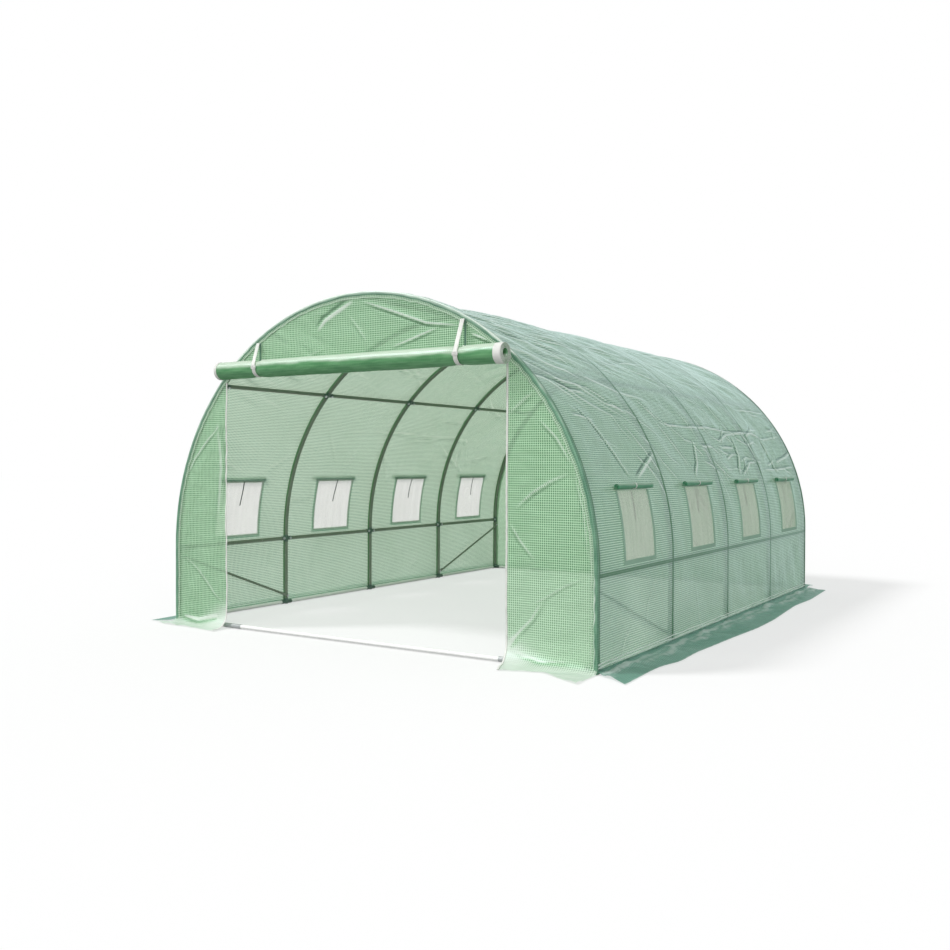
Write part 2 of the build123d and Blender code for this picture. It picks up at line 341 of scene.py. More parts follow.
class Recipe:
    """A material's node tree, built one node at a time."""

    def __init__(self, name: str) -> None:
        """Start an empty material.

        Args:
            name: the material's name.
        """
        self.material = bpy.data.materials.new(name)
        self.material.use_nodes = True
        self.tree = self.material.node_tree
        self.tree.nodes.clear()
        self.output = self.tree.nodes.new("ShaderNodeOutputMaterial")

    def node(self, kind: str, inputs: dict | None = None, **settings: object) -> bpy.types.Node:
        """Add a node.

        Args:
            kind: the node's type, without its prefix.
            inputs: a value or a socket for each named or numbered input.
            settings: the node's own properties.

        Returns:
            The node.
        """
        made = self.tree.nodes.new("ShaderNode" + kind)
        for key, value in settings.items():
            setattr(made, key, value)
        for key, value in (inputs or {}).items():
            if isinstance(value, bpy.types.NodeSocket):
                self.tree.links.new(value, made.inputs[key])
            else:
                made.inputs[key].default_value = value
        return made

    def math(self, operation: str, *values: object) -> bpy.types.NodeSocket:
        """Add a Math node and return its result."""
        return self.node("Math", dict(enumerate(values)), operation=operation).outputs[0]

    def blend(self, factor: object, first: object, second: object) -> bpy.types.NodeSocket:
        """Add a colour Mix node and return its colour."""
        inputs = {0: factor, 6: first, 7: second}
        return self.node("Mix", inputs, data_type="RGBA").outputs[2]

    def span(self, value: object, low: float, high: float, to_low: float, to_high: float) -> bpy.types.NodeSocket:
        """Map a value smoothly from one range to another."""
        inputs = {"Value": value, "From Min": low, "From Max": high, "To Min": to_low, "To Max": to_high}
        return self.node("MapRange", inputs, interpolation_type="SMOOTHSTEP").outputs[0]

    def noise(self, vector: object, scale: float, detail: float = 3.0) -> bpy.types.NodeSocket:
        """Add a noise texture and return its value."""
        return self.node("TexNoise", {"Vector": vector, "Scale": scale, "Detail": detail}).outputs[0]

    def cloth(self) -> bpy.types.NodeSocket:
        """Read the piece's cloth coordinates."""
        return self.node("UVMap", uv_map=CLOTH_UV).outputs[0]

    def mark(self, name: str) -> bpy.types.NodeSocket:
        """Read a value that is kept at the piece's points."""
        return self.node("Attribute", attribute_name=name).outputs["Fac"]

    def stretch(self, cloth: object, scale: tuple[float, float, float]) -> bpy.types.NodeSocket:
        """Scale cloth coordinates in each direction."""
        return self.node("Mapping", {"Vector": cloth, "Scale": scale}).outputs[0]

    def bump(self, height: object, distance: float, strength: float) -> bpy.types.NodeSocket:
        """Turn a height into a normal."""
        return self.node("Bump", {"Height": height, "Distance": distance, "Strength": strength}).outputs[0]

    def surface(self, colour: object, roughness: object, bump: object, **more: object) -> bpy.types.NodeSocket:
        """Add an opaque surface; more names further inputs, with _ for a space."""
        inputs = {"Base Color": colour, "Roughness": roughness, "Normal": bump}
        return self.node("BsdfPrincipled", inputs | {key.replace("_", " "): more[key] for key in more}).outputs[0]

    def mix(self, share: object, first: object, second: object) -> bpy.types.NodeSocket:
        """Mix two shaders, with a share of the second."""
        return self.node("MixShader", {0: share, 1: first, 2: second}).outputs[0]

    def grid(self, cloth: object, pitch: float, core: float, edge: float) -> bpy.types.NodeSocket:
        """Mark the threads of a square grid with 1.

        Args:
            cloth: cloth coordinates.
            pitch: distance between threads in metres.
            core, edge: where a thread starts to fade and where it ends, in metres from its middle.

        Returns:
            The mark.
        """
        place = self.node("SeparateXYZ", {0: cloth})
        lines = [
            self.span(self.math("PINGPONG", place.outputs[axis], pitch / 2), core, edge, 1.0, 0.0) for axis in (0, 1)
        ]
        return self.math("MAXIMUM", *lines)

    def facets(self, cloth: object, scale: tuple[float, float, float], warp: float) -> bpy.types.NodeSocket:
        """Make the flat facets of crumpled film, which meet in sharp lines.

        Args:
            cloth: cloth coordinates.
            scale: facets to the metre in each direction.
            warp: how far the lines wander, in metres.

        Returns:
            A height of about 0 to 1.
        """
        drift = self.node("TexNoise", {"Vector": cloth, "Scale": 4.0, "Detail": 2.0}).outputs["Color"]
        push = self.node("VectorMath", {0: drift, 1: (warp, warp, 0.0)}, operation="MULTIPLY").outputs[0]
        moved = self.node("VectorMath", {0: cloth, 1: push}, operation="ADD").outputs[0]
        place = self.stretch(moved, scale)
        return self.node("TexVoronoi", {"Vector": place, "Scale": 1.0}, voronoi_dimensions="2D").outputs["Distance"]

    def turned_to(self, direction: tuple[float, float, float], low: object, high: object) -> bpy.types.NodeSocket:
        """Mark with 1 what faces a direction.

        Args:
            direction: the direction.
            low, high: slopes towards it where the mark starts to rise and where it is full.

        Returns:
            The mark.
        """
        normal = self.node("NewGeometry").outputs["Normal"]
        slope = self.node("VectorMath", {0: normal, 1: direction}, operation="DOT_PRODUCT").outputs["Value"]
        return self.span(slope, low, high, 0.0, 1.0)

    def sheen(self, body: object, bump: object, gloss: float, least: float, most: float) -> bpy.types.NodeSocket:
        """Lay a clear skin over a shader, which mirrors more the flatter it is seen.

        Args:
            body: the shader below.
            bump: the skin's normal.
            gloss: roughness.
            least, most: share of the mirror seen square on and edge on.

        Returns:
            The shader.
        """
        facing = self.node("LayerWeight", {"Blend": 0.5, "Normal": bump}).outputs["Facing"]
        share = self.math("POWER", facing, SKIN_RISE)
        share = self.math("MULTIPLY_ADD", share, most - least, least)
        colour = rgba(SKIN_COLOUR)
        return self.mix(share, body, self.surface(colour, gloss, bump, Metallic=1.0))

    def finish(self, shader: bpy.types.NodeSocket) -> bpy.types.Material:
        """Link the surface and return the material."""
        self.tree.links.new(shader, self.output.inputs["Surface"])
        return self.material


def rgba(colour: Colour) -> tuple[float, float, float, float]:
    """Add full alpha to a colour."""
    return (*colour, 1.0)


def darker(colour: Colour, share: float) -> tuple[float, float, float, float]:
    """Darken a colour to a share of itself, with full alpha."""
    return rgba(tuple(share * part for part in colour))


@dataclass(frozen=True)
class Rests:
    """Lines along which the cover rests on hoops and rails, in cloth coordinates; the film gets painted shade along
    them.
    """

    first_hoop: float
    bay: float
    crown: float
    rails: tuple[float, ...]
    half_width: float = 0.0115

    def marks(self, recipe: Recipe, cloth: bpy.types.NodeSocket) -> bpy.types.NodeSocket:
        """Mark the lines with 1, where the film gets painted shade.

        Args:
            recipe: the material's recipe.
            cloth: cloth coordinates.

        Returns:
            The mark.
        """
        place = recipe.node("SeparateXYZ", {0: cloth})
        low, high = 0.75 * self.half_width, 1.2 * self.half_width
        along = recipe.math("PINGPONG", recipe.math("SUBTRACT", place.outputs[0], self.first_hoop), self.bay / 2)
        total = recipe.span(along, low, high, 1.0, 0.0)
        climb = recipe.math("ABSOLUTE", recipe.math("SUBTRACT", place.outputs[1], self.crown))
        for rail in self.rails:
            off = recipe.math("ABSOLUTE", recipe.math("SUBTRACT", climb, rail))
            total = recipe.math("MAXIMUM", total, recipe.span(off, low, high, 0.8, 0.0))
        return total


@dataclass(frozen=True)
class ScrimFilm:
    """See-through film with a square grid of threads welded into it."""

    name: str
    cell: Colour
    thread: Colour
    tint: Colour
    cell_cover: float
    thread_cover: float
    slant_cover: float = 0.40
    pitch: float = 0.012
    thread_width: float = 0.0034
    gloss: float = 0.3
    mirror: float = 0.85
    wrinkle: float = 0.005
    facet: float = 0.010
    shine_through: float = 0.40
    glow: Colour = (1.0, 1.0, 1.0)
    rests: Rests | None = None

    def material(self) -> bpy.types.Material:
        """Build the film's material.

        Returns:
            See-through, shine-through and matt shading driven by the thread grid, with painted highlight and shade
            from the crease mark and, where rests are given, painted shade along the hoops and rails, under a clear
            skin.
        """
        recipe = Recipe(self.name)
        cloth = recipe.cloth()
        thread = recipe.grid(cloth, self.pitch, 0.25 * self.thread_width, 0.75 * self.thread_width)
        # The crease mark paints a highlight, a paler colour, above 0 and shade, a darker colour, below 0; the film is
        # also less clear there.
        mark = recipe.mark(CREASE)
        pale = recipe.span(mark, 0.05, 0.85, 0.0, 1.0)
        dark = recipe.span(mark, -1.0, -0.05, 0.75, 0.0)
        patch = recipe.span(recipe.noise(cloth, 2.6, 4.0), 0.3, 0.7, -0.05, 0.05)

        colour = recipe.blend(thread, rgba(self.cell), rgba(self.thread))
        paler = tuple(min(0.96, 0.62 + 0.36 * part) for part in self.thread)
        colour = recipe.blend(pale, colour, rgba(paler))
        colour = recipe.blend(dark, colour, darker(self.cell, 0.36))
        bump = self.relief(recipe, cloth, thread)

        facing = recipe.node("LayerWeight", {"Blend": 0.5, "Normal": bump}).outputs["Facing"]
        slant = recipe.math("MULTIPLY", recipe.math("POWER", facing, 4.0), self.slant_cover)
        cover = recipe.span(thread, 0.0, 1.0, self.cell_cover, self.thread_cover)
        cover = recipe.math("ADD", recipe.math("ADD", cover, patch), slant)
        cover = recipe.math("MULTIPLY_ADD", recipe.math("MAXIMUM", pale, dark), 0.4, cover)
        if self.rests:
            # Painted shade along the hoops and rails: a less clear film in a dark green colour.
            resting_shade = self.rests.marks(recipe, cloth)
            cover = recipe.math("MULTIPLY_ADD", resting_shade, 0.42, cover)
            colour = recipe.blend(recipe.math("MULTIPLY", resting_shade, 0.90), colour, rgba(RESTING_SHADE_COLOUR))
        cover = recipe.math("MINIMUM", cover, 1.0)

        surface = recipe.surface(colour, FILM_ROUGHNESS, bump, Specular_IOR_Level=FILM_SHINE)
        inner = {0: 1.0, 6: colour, 7: recipe.blend(pale, rgba(self.glow), rgba(PALE_GLOW))}
        lit = recipe.node("Mix", inner, data_type="RGBA", blend_type="MULTIPLY").outputs[2]
        through = recipe.node("BsdfTranslucent", {"Color": lit, "Normal": bump})
        body = recipe.mix(self.shine_through, surface, through.outputs[0])
        clear = recipe.node("BsdfTransparent", {"Color": rgba(self.tint)})
        film = recipe.mix(cover, clear.outputs[0], body)
        return recipe.finish(recipe.sheen(film, bump, self.gloss, 0.03, self.mirror))

    def relief(
        self, recipe: Recipe, cloth: bpy.types.NodeSocket, thread: bpy.types.NodeSocket
    ) -> bpy.types.NodeSocket:
        """Bump the film with drawn streaks, sharp facets and its threads.

        Args:
            recipe: the material's recipe.
            cloth: cloth coordinates.
            thread: mark of the threads.

        Returns:
            The film's normal.
        """
        height = recipe.noise(recipe.stretch(cloth, (1.2, 7.0, 1.0)), 3.0, 5.0)
        height = recipe.math("MULTIPLY_ADD", recipe.noise(cloth, 22.0, 3.0), 0.12, height)
        height = recipe.math("MULTIPLY_ADD", thread, 0.05, height)
        soft = recipe.bump(height, self.wrinkle, 0.8)
        broken = recipe.math("MULTIPLY", recipe.facets(cloth, (5.5, 8.0, 1.0), 0.12), recipe.mark(CRUMPLE))
        inputs = {"Height": broken, "Distance": self.facet, "Strength": 1.0, "Normal": soft}
        return recipe.node("Bump", inputs).outputs[0]


@dataclass(frozen=True)
class RolledFilm:
    """Film in many layers, which no longer shows what is behind it, with a painted highlight where it faces the sky.
    """

    name: str
    deep: Colour
    pale: Colour
    highlight_colour: Colour = (0.74, 0.84, 0.71)
    highlight_share: float = 0.9
    sky: tuple[float, float, float] = (0.0, 0.0, 1.0)
    sky_edge: Point = (0.02, 0.55)
    thread_share: float = 0.30
    pitch: float = 0.012
    thread_core: float = 0.0008
    thread_edge: float = 0.0028
    gloss: float = 0.3
    mirror: float = 0.16

    def material(self) -> bpy.types.Material:
        """Build the material of rolled film: faint threads, streaks along the roll, a painted highlight where it faces
        the sky and a glossy skin.

        Returns:
            The material.
        """
        recipe = Recipe(self.name)
        cloth = recipe.cloth()
        thread = recipe.grid(cloth, self.pitch, self.thread_core, self.thread_edge)
        streak = recipe.noise(recipe.stretch(cloth, (2.0, 14.0, 1.0)), 4.0, 4.0)
        share = recipe.math("MULTIPLY_ADD", thread, self.thread_share, recipe.span(streak, 0.35, 0.7, 0.0, 0.6))
        colour = recipe.blend(share, rgba(self.deep), rgba(self.pale))
        spread = recipe.stretch(cloth, (1.3, 5.0, 1.0))
        # Painted highlight: paler colour on the side turned to the sky, with a broken edge from noise, and wherever
        # the crease mark is set.
        highlight_breakup = recipe.math("ADD", recipe.noise(cloth, 1.7, 2.0), recipe.noise(spread, 4.0, 8.0))
        low = recipe.math("MULTIPLY_ADD", highlight_breakup, 0.75, self.sky_edge[0] - 0.75)
        painted_highlight = recipe.turned_to(self.sky, low, recipe.math("ADD", low, self.sky_edge[1]))
        painted_highlight = recipe.math("MAXIMUM", painted_highlight, recipe.mark(CREASE))
        painted_highlight = recipe.math("MULTIPLY", painted_highlight, recipe.span(thread, 0.0, 1.0, self.highlight_share, 0.66 * self.highlight_share))
        colour = recipe.blend(painted_highlight, colour, rgba(self.highlight_colour))
        height = recipe.math("MULTIPLY_ADD", thread, 0.1, streak)
        bump = recipe.bump(height, 0.004, 0.7)
        surface = recipe.surface(colour, FILM_ROUGHNESS, bump, Specular_IOR_Level=FILM_SHINE)
        through = recipe.node("BsdfTranslucent", {"Color": colour})
        body = recipe.mix(0.15, surface, through.outputs[0])
        return recipe.finish(recipe.sheen(body, bump, self.gloss, 0.03, self.mirror))


@dataclass(frozen=True)
class NetFinish:
    """Fine insect net of the windows."""

    name: str
    thread: Colour
    pitch: float = 0.0035
    thread_core: float = 0.0004
    thread_edge: float = 0.0010
    open_cover: float = 0.30
    thread_cover: float = 0.85

    def material(self) -> bpy.types.Material:
        """Build the net: thin pale threads with small open cells.

        Returns:
            The material.
        """
        recipe = Recipe(self.name)
        cloth = recipe.cloth()
        thread = recipe.grid(cloth, self.pitch, self.thread_core, self.thread_edge)
        folds = recipe.noise(recipe.stretch(cloth, (9.0, 0.8, 1.0)), 3.0)
        shade = recipe.span(folds, 0.35, 0.65, 0.0, 0.5)
        colour = recipe.blend(shade, rgba(self.thread), darker(self.thread, 0.8))
        cover = recipe.span(thread, 0.0, 1.0, self.open_cover, self.thread_cover)
        surface = recipe.surface(colour, 0.75, recipe.bump(thread, 0.0004, 0.5))
        through = recipe.node("BsdfTranslucent", {"Color": colour})
        body = recipe.mix(0.5, surface, through.outputs[0])
        return recipe.finish(recipe.mix(cover, recipe.node("BsdfTransparent").outputs[0], body))


@dataclass(frozen=True)
class PaintedTube:
    """Powder-coated steel with slight scuffs."""

    name: str
    paint: Colour
    scuff: Colour
    gloss: float = 0.35
    metallic: float = 0.0

    def material(self) -> bpy.types.Material:
        """Build the paint: fine orange peel, soft colour drift and rubbed spots.

        Returns:
            The material.
        """
        recipe = Recipe(self.name)
        place = recipe.node("TexCoord").outputs["Object"]
        drift = recipe.span(recipe.noise(place, 6.0, 4.0), 0.3, 0.7, 0.0, 0.35)
        rubbed = recipe.span(recipe.noise(place, 55.0, 6.0), 0.62, 0.74, 0.0, 0.7)
        share = recipe.math("MAXIMUM", drift, rubbed)
        colour = recipe.blend(share, rgba(self.paint), rgba(self.scuff))
        rough = recipe.span(rubbed, 0.0, 1.0, self.gloss, self.gloss + 0.25)
        peel = recipe.bump(recipe.noise(place, 420.0, 2.0), 0.0003, 0.35)
        return recipe.finish(recipe.surface(colour, rough, peel, Metallic=self.metallic))


@dataclass(frozen=True)
class TapeFinish:
    """Woven tape, read from the piece's own place."""

    name: str
    colour: Colour
    weave: float = 900.0
    glow: float = 0.2
    inner: Colour | None = None
    clear: float = 0.0

    def material(self) -> bpy.types.Material:
        """Build the woven tape with a fine rib and slight soiling.

        Returns:
            The material.
        """
        recipe = Recipe(self.name)
        place = recipe.node("TexCoord").outputs["Object"]
        rib = recipe.node("TexWave", {"Vector": place, "Scale": self.weave / 6, "Distortion": 1.5}).outputs["Fac"]
        soil = recipe.span(recipe.noise(place, 14.0, 4.0), 0.35, 0.75, 0.0, 0.3)
        colour = recipe.blend(soil, rgba(self.colour), darker(self.colour, 0.72))
        surface = recipe.surface(colour, 0.62, recipe.bump(rib, 0.0005, 0.5))
        through = recipe.node("BsdfTranslucent", {"Color": rgba(self.inner) if self.inner else colour})
        body = recipe.mix(self.glow, surface, through.outputs[0])
        if self.clear:
            open_weave = recipe.node("BsdfTransparent", {"Color": rgba(OPEN_WEAVE)})
            body = recipe.mix(self.clear, body, open_weave.outputs[0])
        return recipe.finish(body)


@dataclass
class Finishes:
    """All the object's finishes, made once."""

    rests: Rests
    cover_film: bpy.types.Material = field(init=False)
    end_film: bpy.types.Material = field(init=False)
    skirt_film: bpy.types.Material = field(init=False)
    rolled_film: bpy.types.Material = field(init=False)
    flap_film: bpy.types.Material = field(init=False)
    hem_film: bpy.types.Material = field(init=False)
    net: bpy.types.Material = field(init=False)
    green_tube: bpy.types.Material = field(init=False)
    white_tube: bpy.types.Material = field(init=False)
    fitting: bpy.types.Material = field(init=False)
    grey_fitting: bpy.types.Material = field(init=False)
    bolt: bpy.types.Material = field(init=False)
    white_tape: bpy.types.Material = field(init=False)
    dark_tape: bpy.types.Material = field(init=False)
    border_tape: bpy.types.Material = field(init=False)
    seam_tape: bpy.types.Material = field(init=False)
    shaded_strap_tape: bpy.types.Material = field(init=False)
    white_plastic: bpy.types.Material = field(init=False)

    def __post_init__(self) -> None:
        """Make every material."""
        self.cover_film = ScrimFilm(
            "cover_film", (0.10, 0.28, 0.20), (0.67, 0.88, 0.80), (0.61, 0.77, 0.63), 0.60, 0.92,
            shine_through=0.45, glow=(1.0, 0.84, 0.72), rests=self.rests,
        ).material()
        self.end_film = ScrimFilm(
            "end_film", (0.12, 0.36, 0.15), (0.66, 0.88, 0.66), (0.64, 0.83, 0.64), 0.50, 0.92, 0.2,
            gloss=0.4, mirror=0.22,
        ).material()
        self.skirt_film = ScrimFilm(
            "skirt_film", (0.095, 0.28, 0.20), (0.21, 0.43, 0.34), (0.66, 0.82, 0.74), 0.72, 0.86, 0.2, mirror=0.14
        ).material()
        # Rolled film with a painted highlight on its top; the window flaps have less of it.
        self.rolled_film = RolledFilm("rolled_film", (0.065, 0.25, 0.085), (0.17, 0.43, 0.19)).material()
        self.flap_film = RolledFilm("flap_film", (0.03, 0.22, 0.10), (0.10, 0.40, 0.20), highlight_share=0.40).material()
        # The hem's painted highlight faces up and towards the key lamp.
        self.hem_film = RolledFilm(
            "hem_film", (0.06, 0.19, 0.11), (0.22, 0.43, 0.28), (0.84, 0.93, 0.84), 0.98,
            sky=(-0.35, -0.2, 0.9), sky_edge=(0.26, 0.25), thread_share=0.5,
        ).material()
        self.net = NetFinish("window_net", (0.76, 0.76, 0.72)).material()
        self.green_tube = PaintedTube("green_tube", (0.15, 0.20, 0.14), (0.25, 0.31, 0.23), 0.25).material()
        self.white_tube = PaintedTube("white_tube", (0.93, 0.94, 0.92), (0.80, 0.81, 0.79), 0.3).material()
        self.fitting = PaintedTube("green_fitting", (0.06, 0.12, 0.09), (0.10, 0.18, 0.14), 0.3).material()
        self.grey_fitting = PaintedTube("grey_fitting", (0.42, 0.45, 0.45), (0.3, 0.32, 0.32), 0.3).material()
        self.bolt = PaintedTube("zinc_bolt", (0.55, 0.57, 0.58), (0.35, 0.36, 0.36), 0.28, 1.0).material()
        self.white_tape = TapeFinish("white_tape", (0.90, 0.91, 0.87)).material()
        self.dark_tape = TapeFinish("dark_tape", (0.02, 0.045, 0.035), glow=0.05).material()
        self.border_tape = TapeFinish(
            "border_tape", (0.66, 0.80, 0.74), glow=0.5, inner=(0.46, 0.66, 0.54), clear=0.5
        ).material()
        # Painted shade: a dark copy of the white strap tape for the strap's back leg.
        self.shaded_strap_tape = TapeFinish("shaded_strap_tape", (0.10, 0.22, 0.15), glow=0.1).material()
        self.white_plastic = PaintedTube("white_plastic", (0.80, 0.81, 0.78), (0.70, 0.71, 0.68), 0.4).material()
        self.seam_tape = TapeFinish("seam_tape", (0.82, 0.92, 0.86), glow=0.3).material()


@dataclass
class Studio:
    """Camera, floor, world and lamps."""

    camera_place: tuple[float, float, float] = (3.582, -6.4295, 1.0356)
    camera_tilt: float = 89.297
    camera_turn: float = 32.226
    camera_roll: float = 0.169
    lens: float = 37.77
    floor_drop: float = 0.003
    floor_half: float = 60.0
    floor_shade: float = 0.37
    floor_lift: float = 0.575
    sky_light: float = 0.52
    key_light: float = 2.1
    key_size: float = 11.0
    key_direction: tuple[float, float, float] = (-0.70, -0.55, 1.0)
    fill_light: float = 1.10
    fill_size: float = 60.0
    fill_direction: tuple[float, float, float] = (0.55, -0.80, 0.38)

    def build(self) -> None:
        """Make the whole studio."""
        self.add_camera()
        self.add_floor()
        self.add_world()
        self.add_lamp("key", self.key_light, self.key_size, self.key_direction)
        self.add_lamp("fill", self.fill_light, self.fill_size, self.fill_direction)
        bpy.context.scene.view_settings.view_transform = "Standard"

    def add_camera(self) -> None:
        """Stand the camera where the object was seen from."""
        lens = bpy.data.cameras.new("camera")
        lens.lens = self.lens
        lens.sensor_width = 36.0
        lens.clip_end = 500.0
        camera = bpy.data.objects.new("camera", lens)
        camera.location = self.camera_place
        turn = Matrix.Rotation(math.radians(self.camera_turn), 3, "Z")
        tilt = Matrix.Rotation(math.radians(self.camera_tilt), 3, "X")
        roll = Matrix.Rotation(math.radians(self.camera_roll), 3, "Z")
        camera.rotation_euler = (turn @ tilt @ roll).to_euler()
        bpy.context.scene.collection.objects.link(camera)
        bpy.context.scene.camera = camera

    def add_floor(self) -> None:
        """Lay a pale floor that reads as white to the camera and keeps the object's shadow."""
        deselect_all()
        bpy.ops.mesh.primitive_plane_add(size=2 * self.floor_half, location=(0.0, 0.0, -self.floor_drop))
        floor = bpy.context.active_object
        floor.name = "floor"
        recipe = Recipe("floor")
        matt = recipe.node("BsdfDiffuse", {"Color": rgba((self.floor_shade,) * 3)})
        seen = seen_directly(recipe)
        lift = recipe.node("Emission", {"Strength": recipe.math("MULTIPLY", seen, self.floor_lift)})
        floor.data.materials.append(
            recipe.finish(recipe.node("AddShader", {0: matt.outputs[0], 1: lift.outputs[0]}).outputs[0])
        )
        floor.select_set(False)

    def add_world(self) -> None:
        """Make the surroundings white to the camera and soft on the object."""
        world = bpy.data.worlds.new("studio")
        world.use_nodes = True
        bpy.context.scene.world = world
        tree = world.node_tree
        background = tree.nodes["Background"]
        background.inputs["Color"].default_value = (1.0, 1.0, 1.0, 1.0)
        path = tree.nodes.new("ShaderNodeLightPath")
        seen = path.outputs["Is Camera Ray"]
        for other in ("Is Glossy Ray", "Is Transmission Ray"):
            most = tree.nodes.new("ShaderNodeMath")
            most.operation = "MAXIMUM"
            tree.links.new(seen, most.inputs[0])
            tree.links.new(path.outputs[other], most.inputs[1])
            seen = most.outputs[0]
        level = tree.nodes.new("ShaderNodeMath")
        level.operation = "MULTIPLY_ADD"
        tree.links.new(seen, level.inputs[0])
        level.inputs[1].default_value = 1.0 - self.sky_light
        level.inputs[2].default_value = self.sky_light
        tree.links.new(level.outputs[0], background.inputs["Strength"])

    def add_lamp(self, name: str, strength: float, size: float, direction: tuple[float, float, float]) -> None:
        """Hang a broad soft lamp far off.

        Args:
            name: the lamp's name.
            strength: its strength.
            size: its width in the sky, in degrees.
            direction: where it hangs.
        """
        lamp = bpy.data.lights.new(name, "SUN")
        lamp.energy = strength
        lamp.angle = math.radians(size)
        hung = bpy.data.objects.new(name, lamp)
        hung.rotation_euler = Vector(direction).to_track_quat("Z", "Y").to_euler()
        bpy.context.scene.collection.objects.link(hung)


def seen_directly(recipe: Recipe) -> bpy.types.NodeSocket:
    """Mark with 1 what the camera sees itself, in a reflection or through a clear piece.

    Args:
        recipe: the material's recipe.

    Returns:
        The mark.
    """
    path = recipe.node("LightPath")
    glossy = recipe.math("MAXIMUM", path.outputs["Is Camera Ray"], path.outputs["Is Glossy Ray"])
    return recipe.math("MAXIMUM", glossy, path.outputs["Is Transmission Ray"])


@dataclass(frozen=True)
class Arch:
    """The cover's outline: an upright leg each side under a half circle."""

    radius: float = 1.5
    leg: float = 0.5

    @property
    def girth(self) -> float:
        """Length of the outline from ground to ground."""
        return 2 * self.leg + math.pi * self.radius

    def angle(self, s: np.ndarray) -> np.ndarray:
        """Turn round the arch at a distance s from the right foot, 0 on the right leg."""
        return np.clip((s - self.leg) / self.radius, 0, math.pi)

    def place(self, s: np.ndarray, lift: np.ndarray | float = 0.0) -> tuple[np.ndarray, np.ndarray]:
        """Find points of the outline.

        Args:
            s: distance up from the right foot and over.
            lift: distance out from the outline.

        Returns:
            X and Z.
        """
        turn = self.angle(s)
        left_leg = np.clip(s - self.leg - math.pi * self.radius, 0, None)
        height = np.clip(s, None, self.leg) - left_leg
        x = (self.radius + lift) * np.cos(turn)
        z = height + (self.radius + lift) * np.sin(turn)
        return x, z

    def height(self, x: np.ndarray | float) -> np.ndarray:
        """Height of the arch over a place x across the ground."""
        return self.leg + np.sqrt(np.clip(self.radius**2 - np.square(x), 0, None))

    def calm_edge(self, x: np.ndarray, z: np.ndarray) -> np.ndarray:
        """Fade from 0 in a border along the outline, under the hem, to 1 further in.

        Args:
            x, z: points of an end's film.

        Returns:
            The share of its folds that stays.
        """
        depth = self.radius - np.where(z > self.leg, np.hypot(x, z - self.leg), np.abs(x))
        return np.clip((depth - 0.042) / 0.05, 0, 1)


@dataclass(frozen=True)
class Plan:
    """Places that the pieces share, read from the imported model."""

    arch: Arch = Arch()
    half_length: float = 2.0
    hoops: tuple[float, ...] = (-1.9819, -0.991, 0.0, 0.991, 1.9819)
    side_rail: float = 0.48
    haunch: float = 0.5 + math.radians(43) * 1.5
    door_left: float = field(default_factory=lambda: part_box("back_door")[0].x)
    door_right: float = field(default_factory=lambda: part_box("back_door")[1].x)
    door_head: float = field(default_factory=lambda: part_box("back_door")[1].z)
    window_sill: float = 0.532
    window_top: float = 0.897
    window_half: float = 0.195
    window_centres: tuple[float, ...] = (-1.4664, -0.4755, 0.5155, 1.5064)

    def rests(self) -> Rests:
        """Say where the cover rests on the frame.

        Returns:
            The lines of the hoops, the ridge and the side rails.
        """
        half = self.arch.girth / 2
        rails = (0.0, half - self.side_rail)
        return Rests(self.hoops[0], self.hoops[1] - self.hoops[0], half, rails)

    def rails(self) -> tuple[float, ...]:
        """Distance of each rail up from the right foot, over the crown."""
        girth = self.arch.girth
        return (self.side_rail, self.haunch, girth / 2, girth - self.haunch, girth - self.side_rail)


RIGHT_CREASES = [
    Crease(
        (
            (1.33, -0.70), (1.31, -0.18), (1.32, 0.25), (1.31, 0.42), (1.30, 0.74), (1.30, 1.17), (1.26, 1.46),
            (1.30, 1.99),
        ),
        0.017, 0.010,
    ),
    Crease(((1.26, 0.16), (1.22, 0.34), (1.28, 0.56), (1.30, 1.04)), 0.015, 0.009),
    Crease(((0.95, -1.41), (1.10, -1.51), (1.25, -1.60), (1.40, -1.74)), 0.016, 0.007),
    Crease(((0.95, -1.36), (1.11, -1.00)), 0.020, 0.008),
    Crease(((1.58, -1.79), (1.53, -1.42), (1.36, -1.10)), 0.014, 0.007),
    Crease(((1.49, -0.81), (1.37, -0.67)), 0.014, 0.008),
    Crease(((1.33, -0.70), (1.18, -0.57), (1.03, -0.44)), 0.016, 0.006),
    Crease(((1.09, -0.03), (1.00, 0.14), (0.93, 0.31)), 0.014, 0.009),
    Crease(((1.53, 1.21), (1.54, 1.60), (1.53, 1.94)), 0.015, 0.008),
    Crease(((1.06, 1.51), (1.10, 1.80), (1.14, 1.99)), 0.018, 0.010),
    Crease(((1.00, 1.11), (1.00, 1.50), (1.02, 1.95)), 0.016, 0.008),
    Crease(((1.33, -1.84), (1.31, -1.60)), 0.014, 0.006),
    Crease(((0.95, -0.42), (1.05, -0.30), (1.22, -0.22)), 0.016, 0.007),
    Crease(((0.95, 0.50), (1.10, 0.62), (1.27, 0.66)), 0.018, 0.008),
    Crease(((0.95, 0.55), (1.05, 0.80)), 0.016, 0.007),
    Crease(((0.96, 1.46), (1.12, 1.38), (1.28, 1.36)), 0.018, 0.009),
    Crease(((0.93, 1.02), (1.10, 0.98), (1.30, 0.90)), 0.018, 0.008),
]


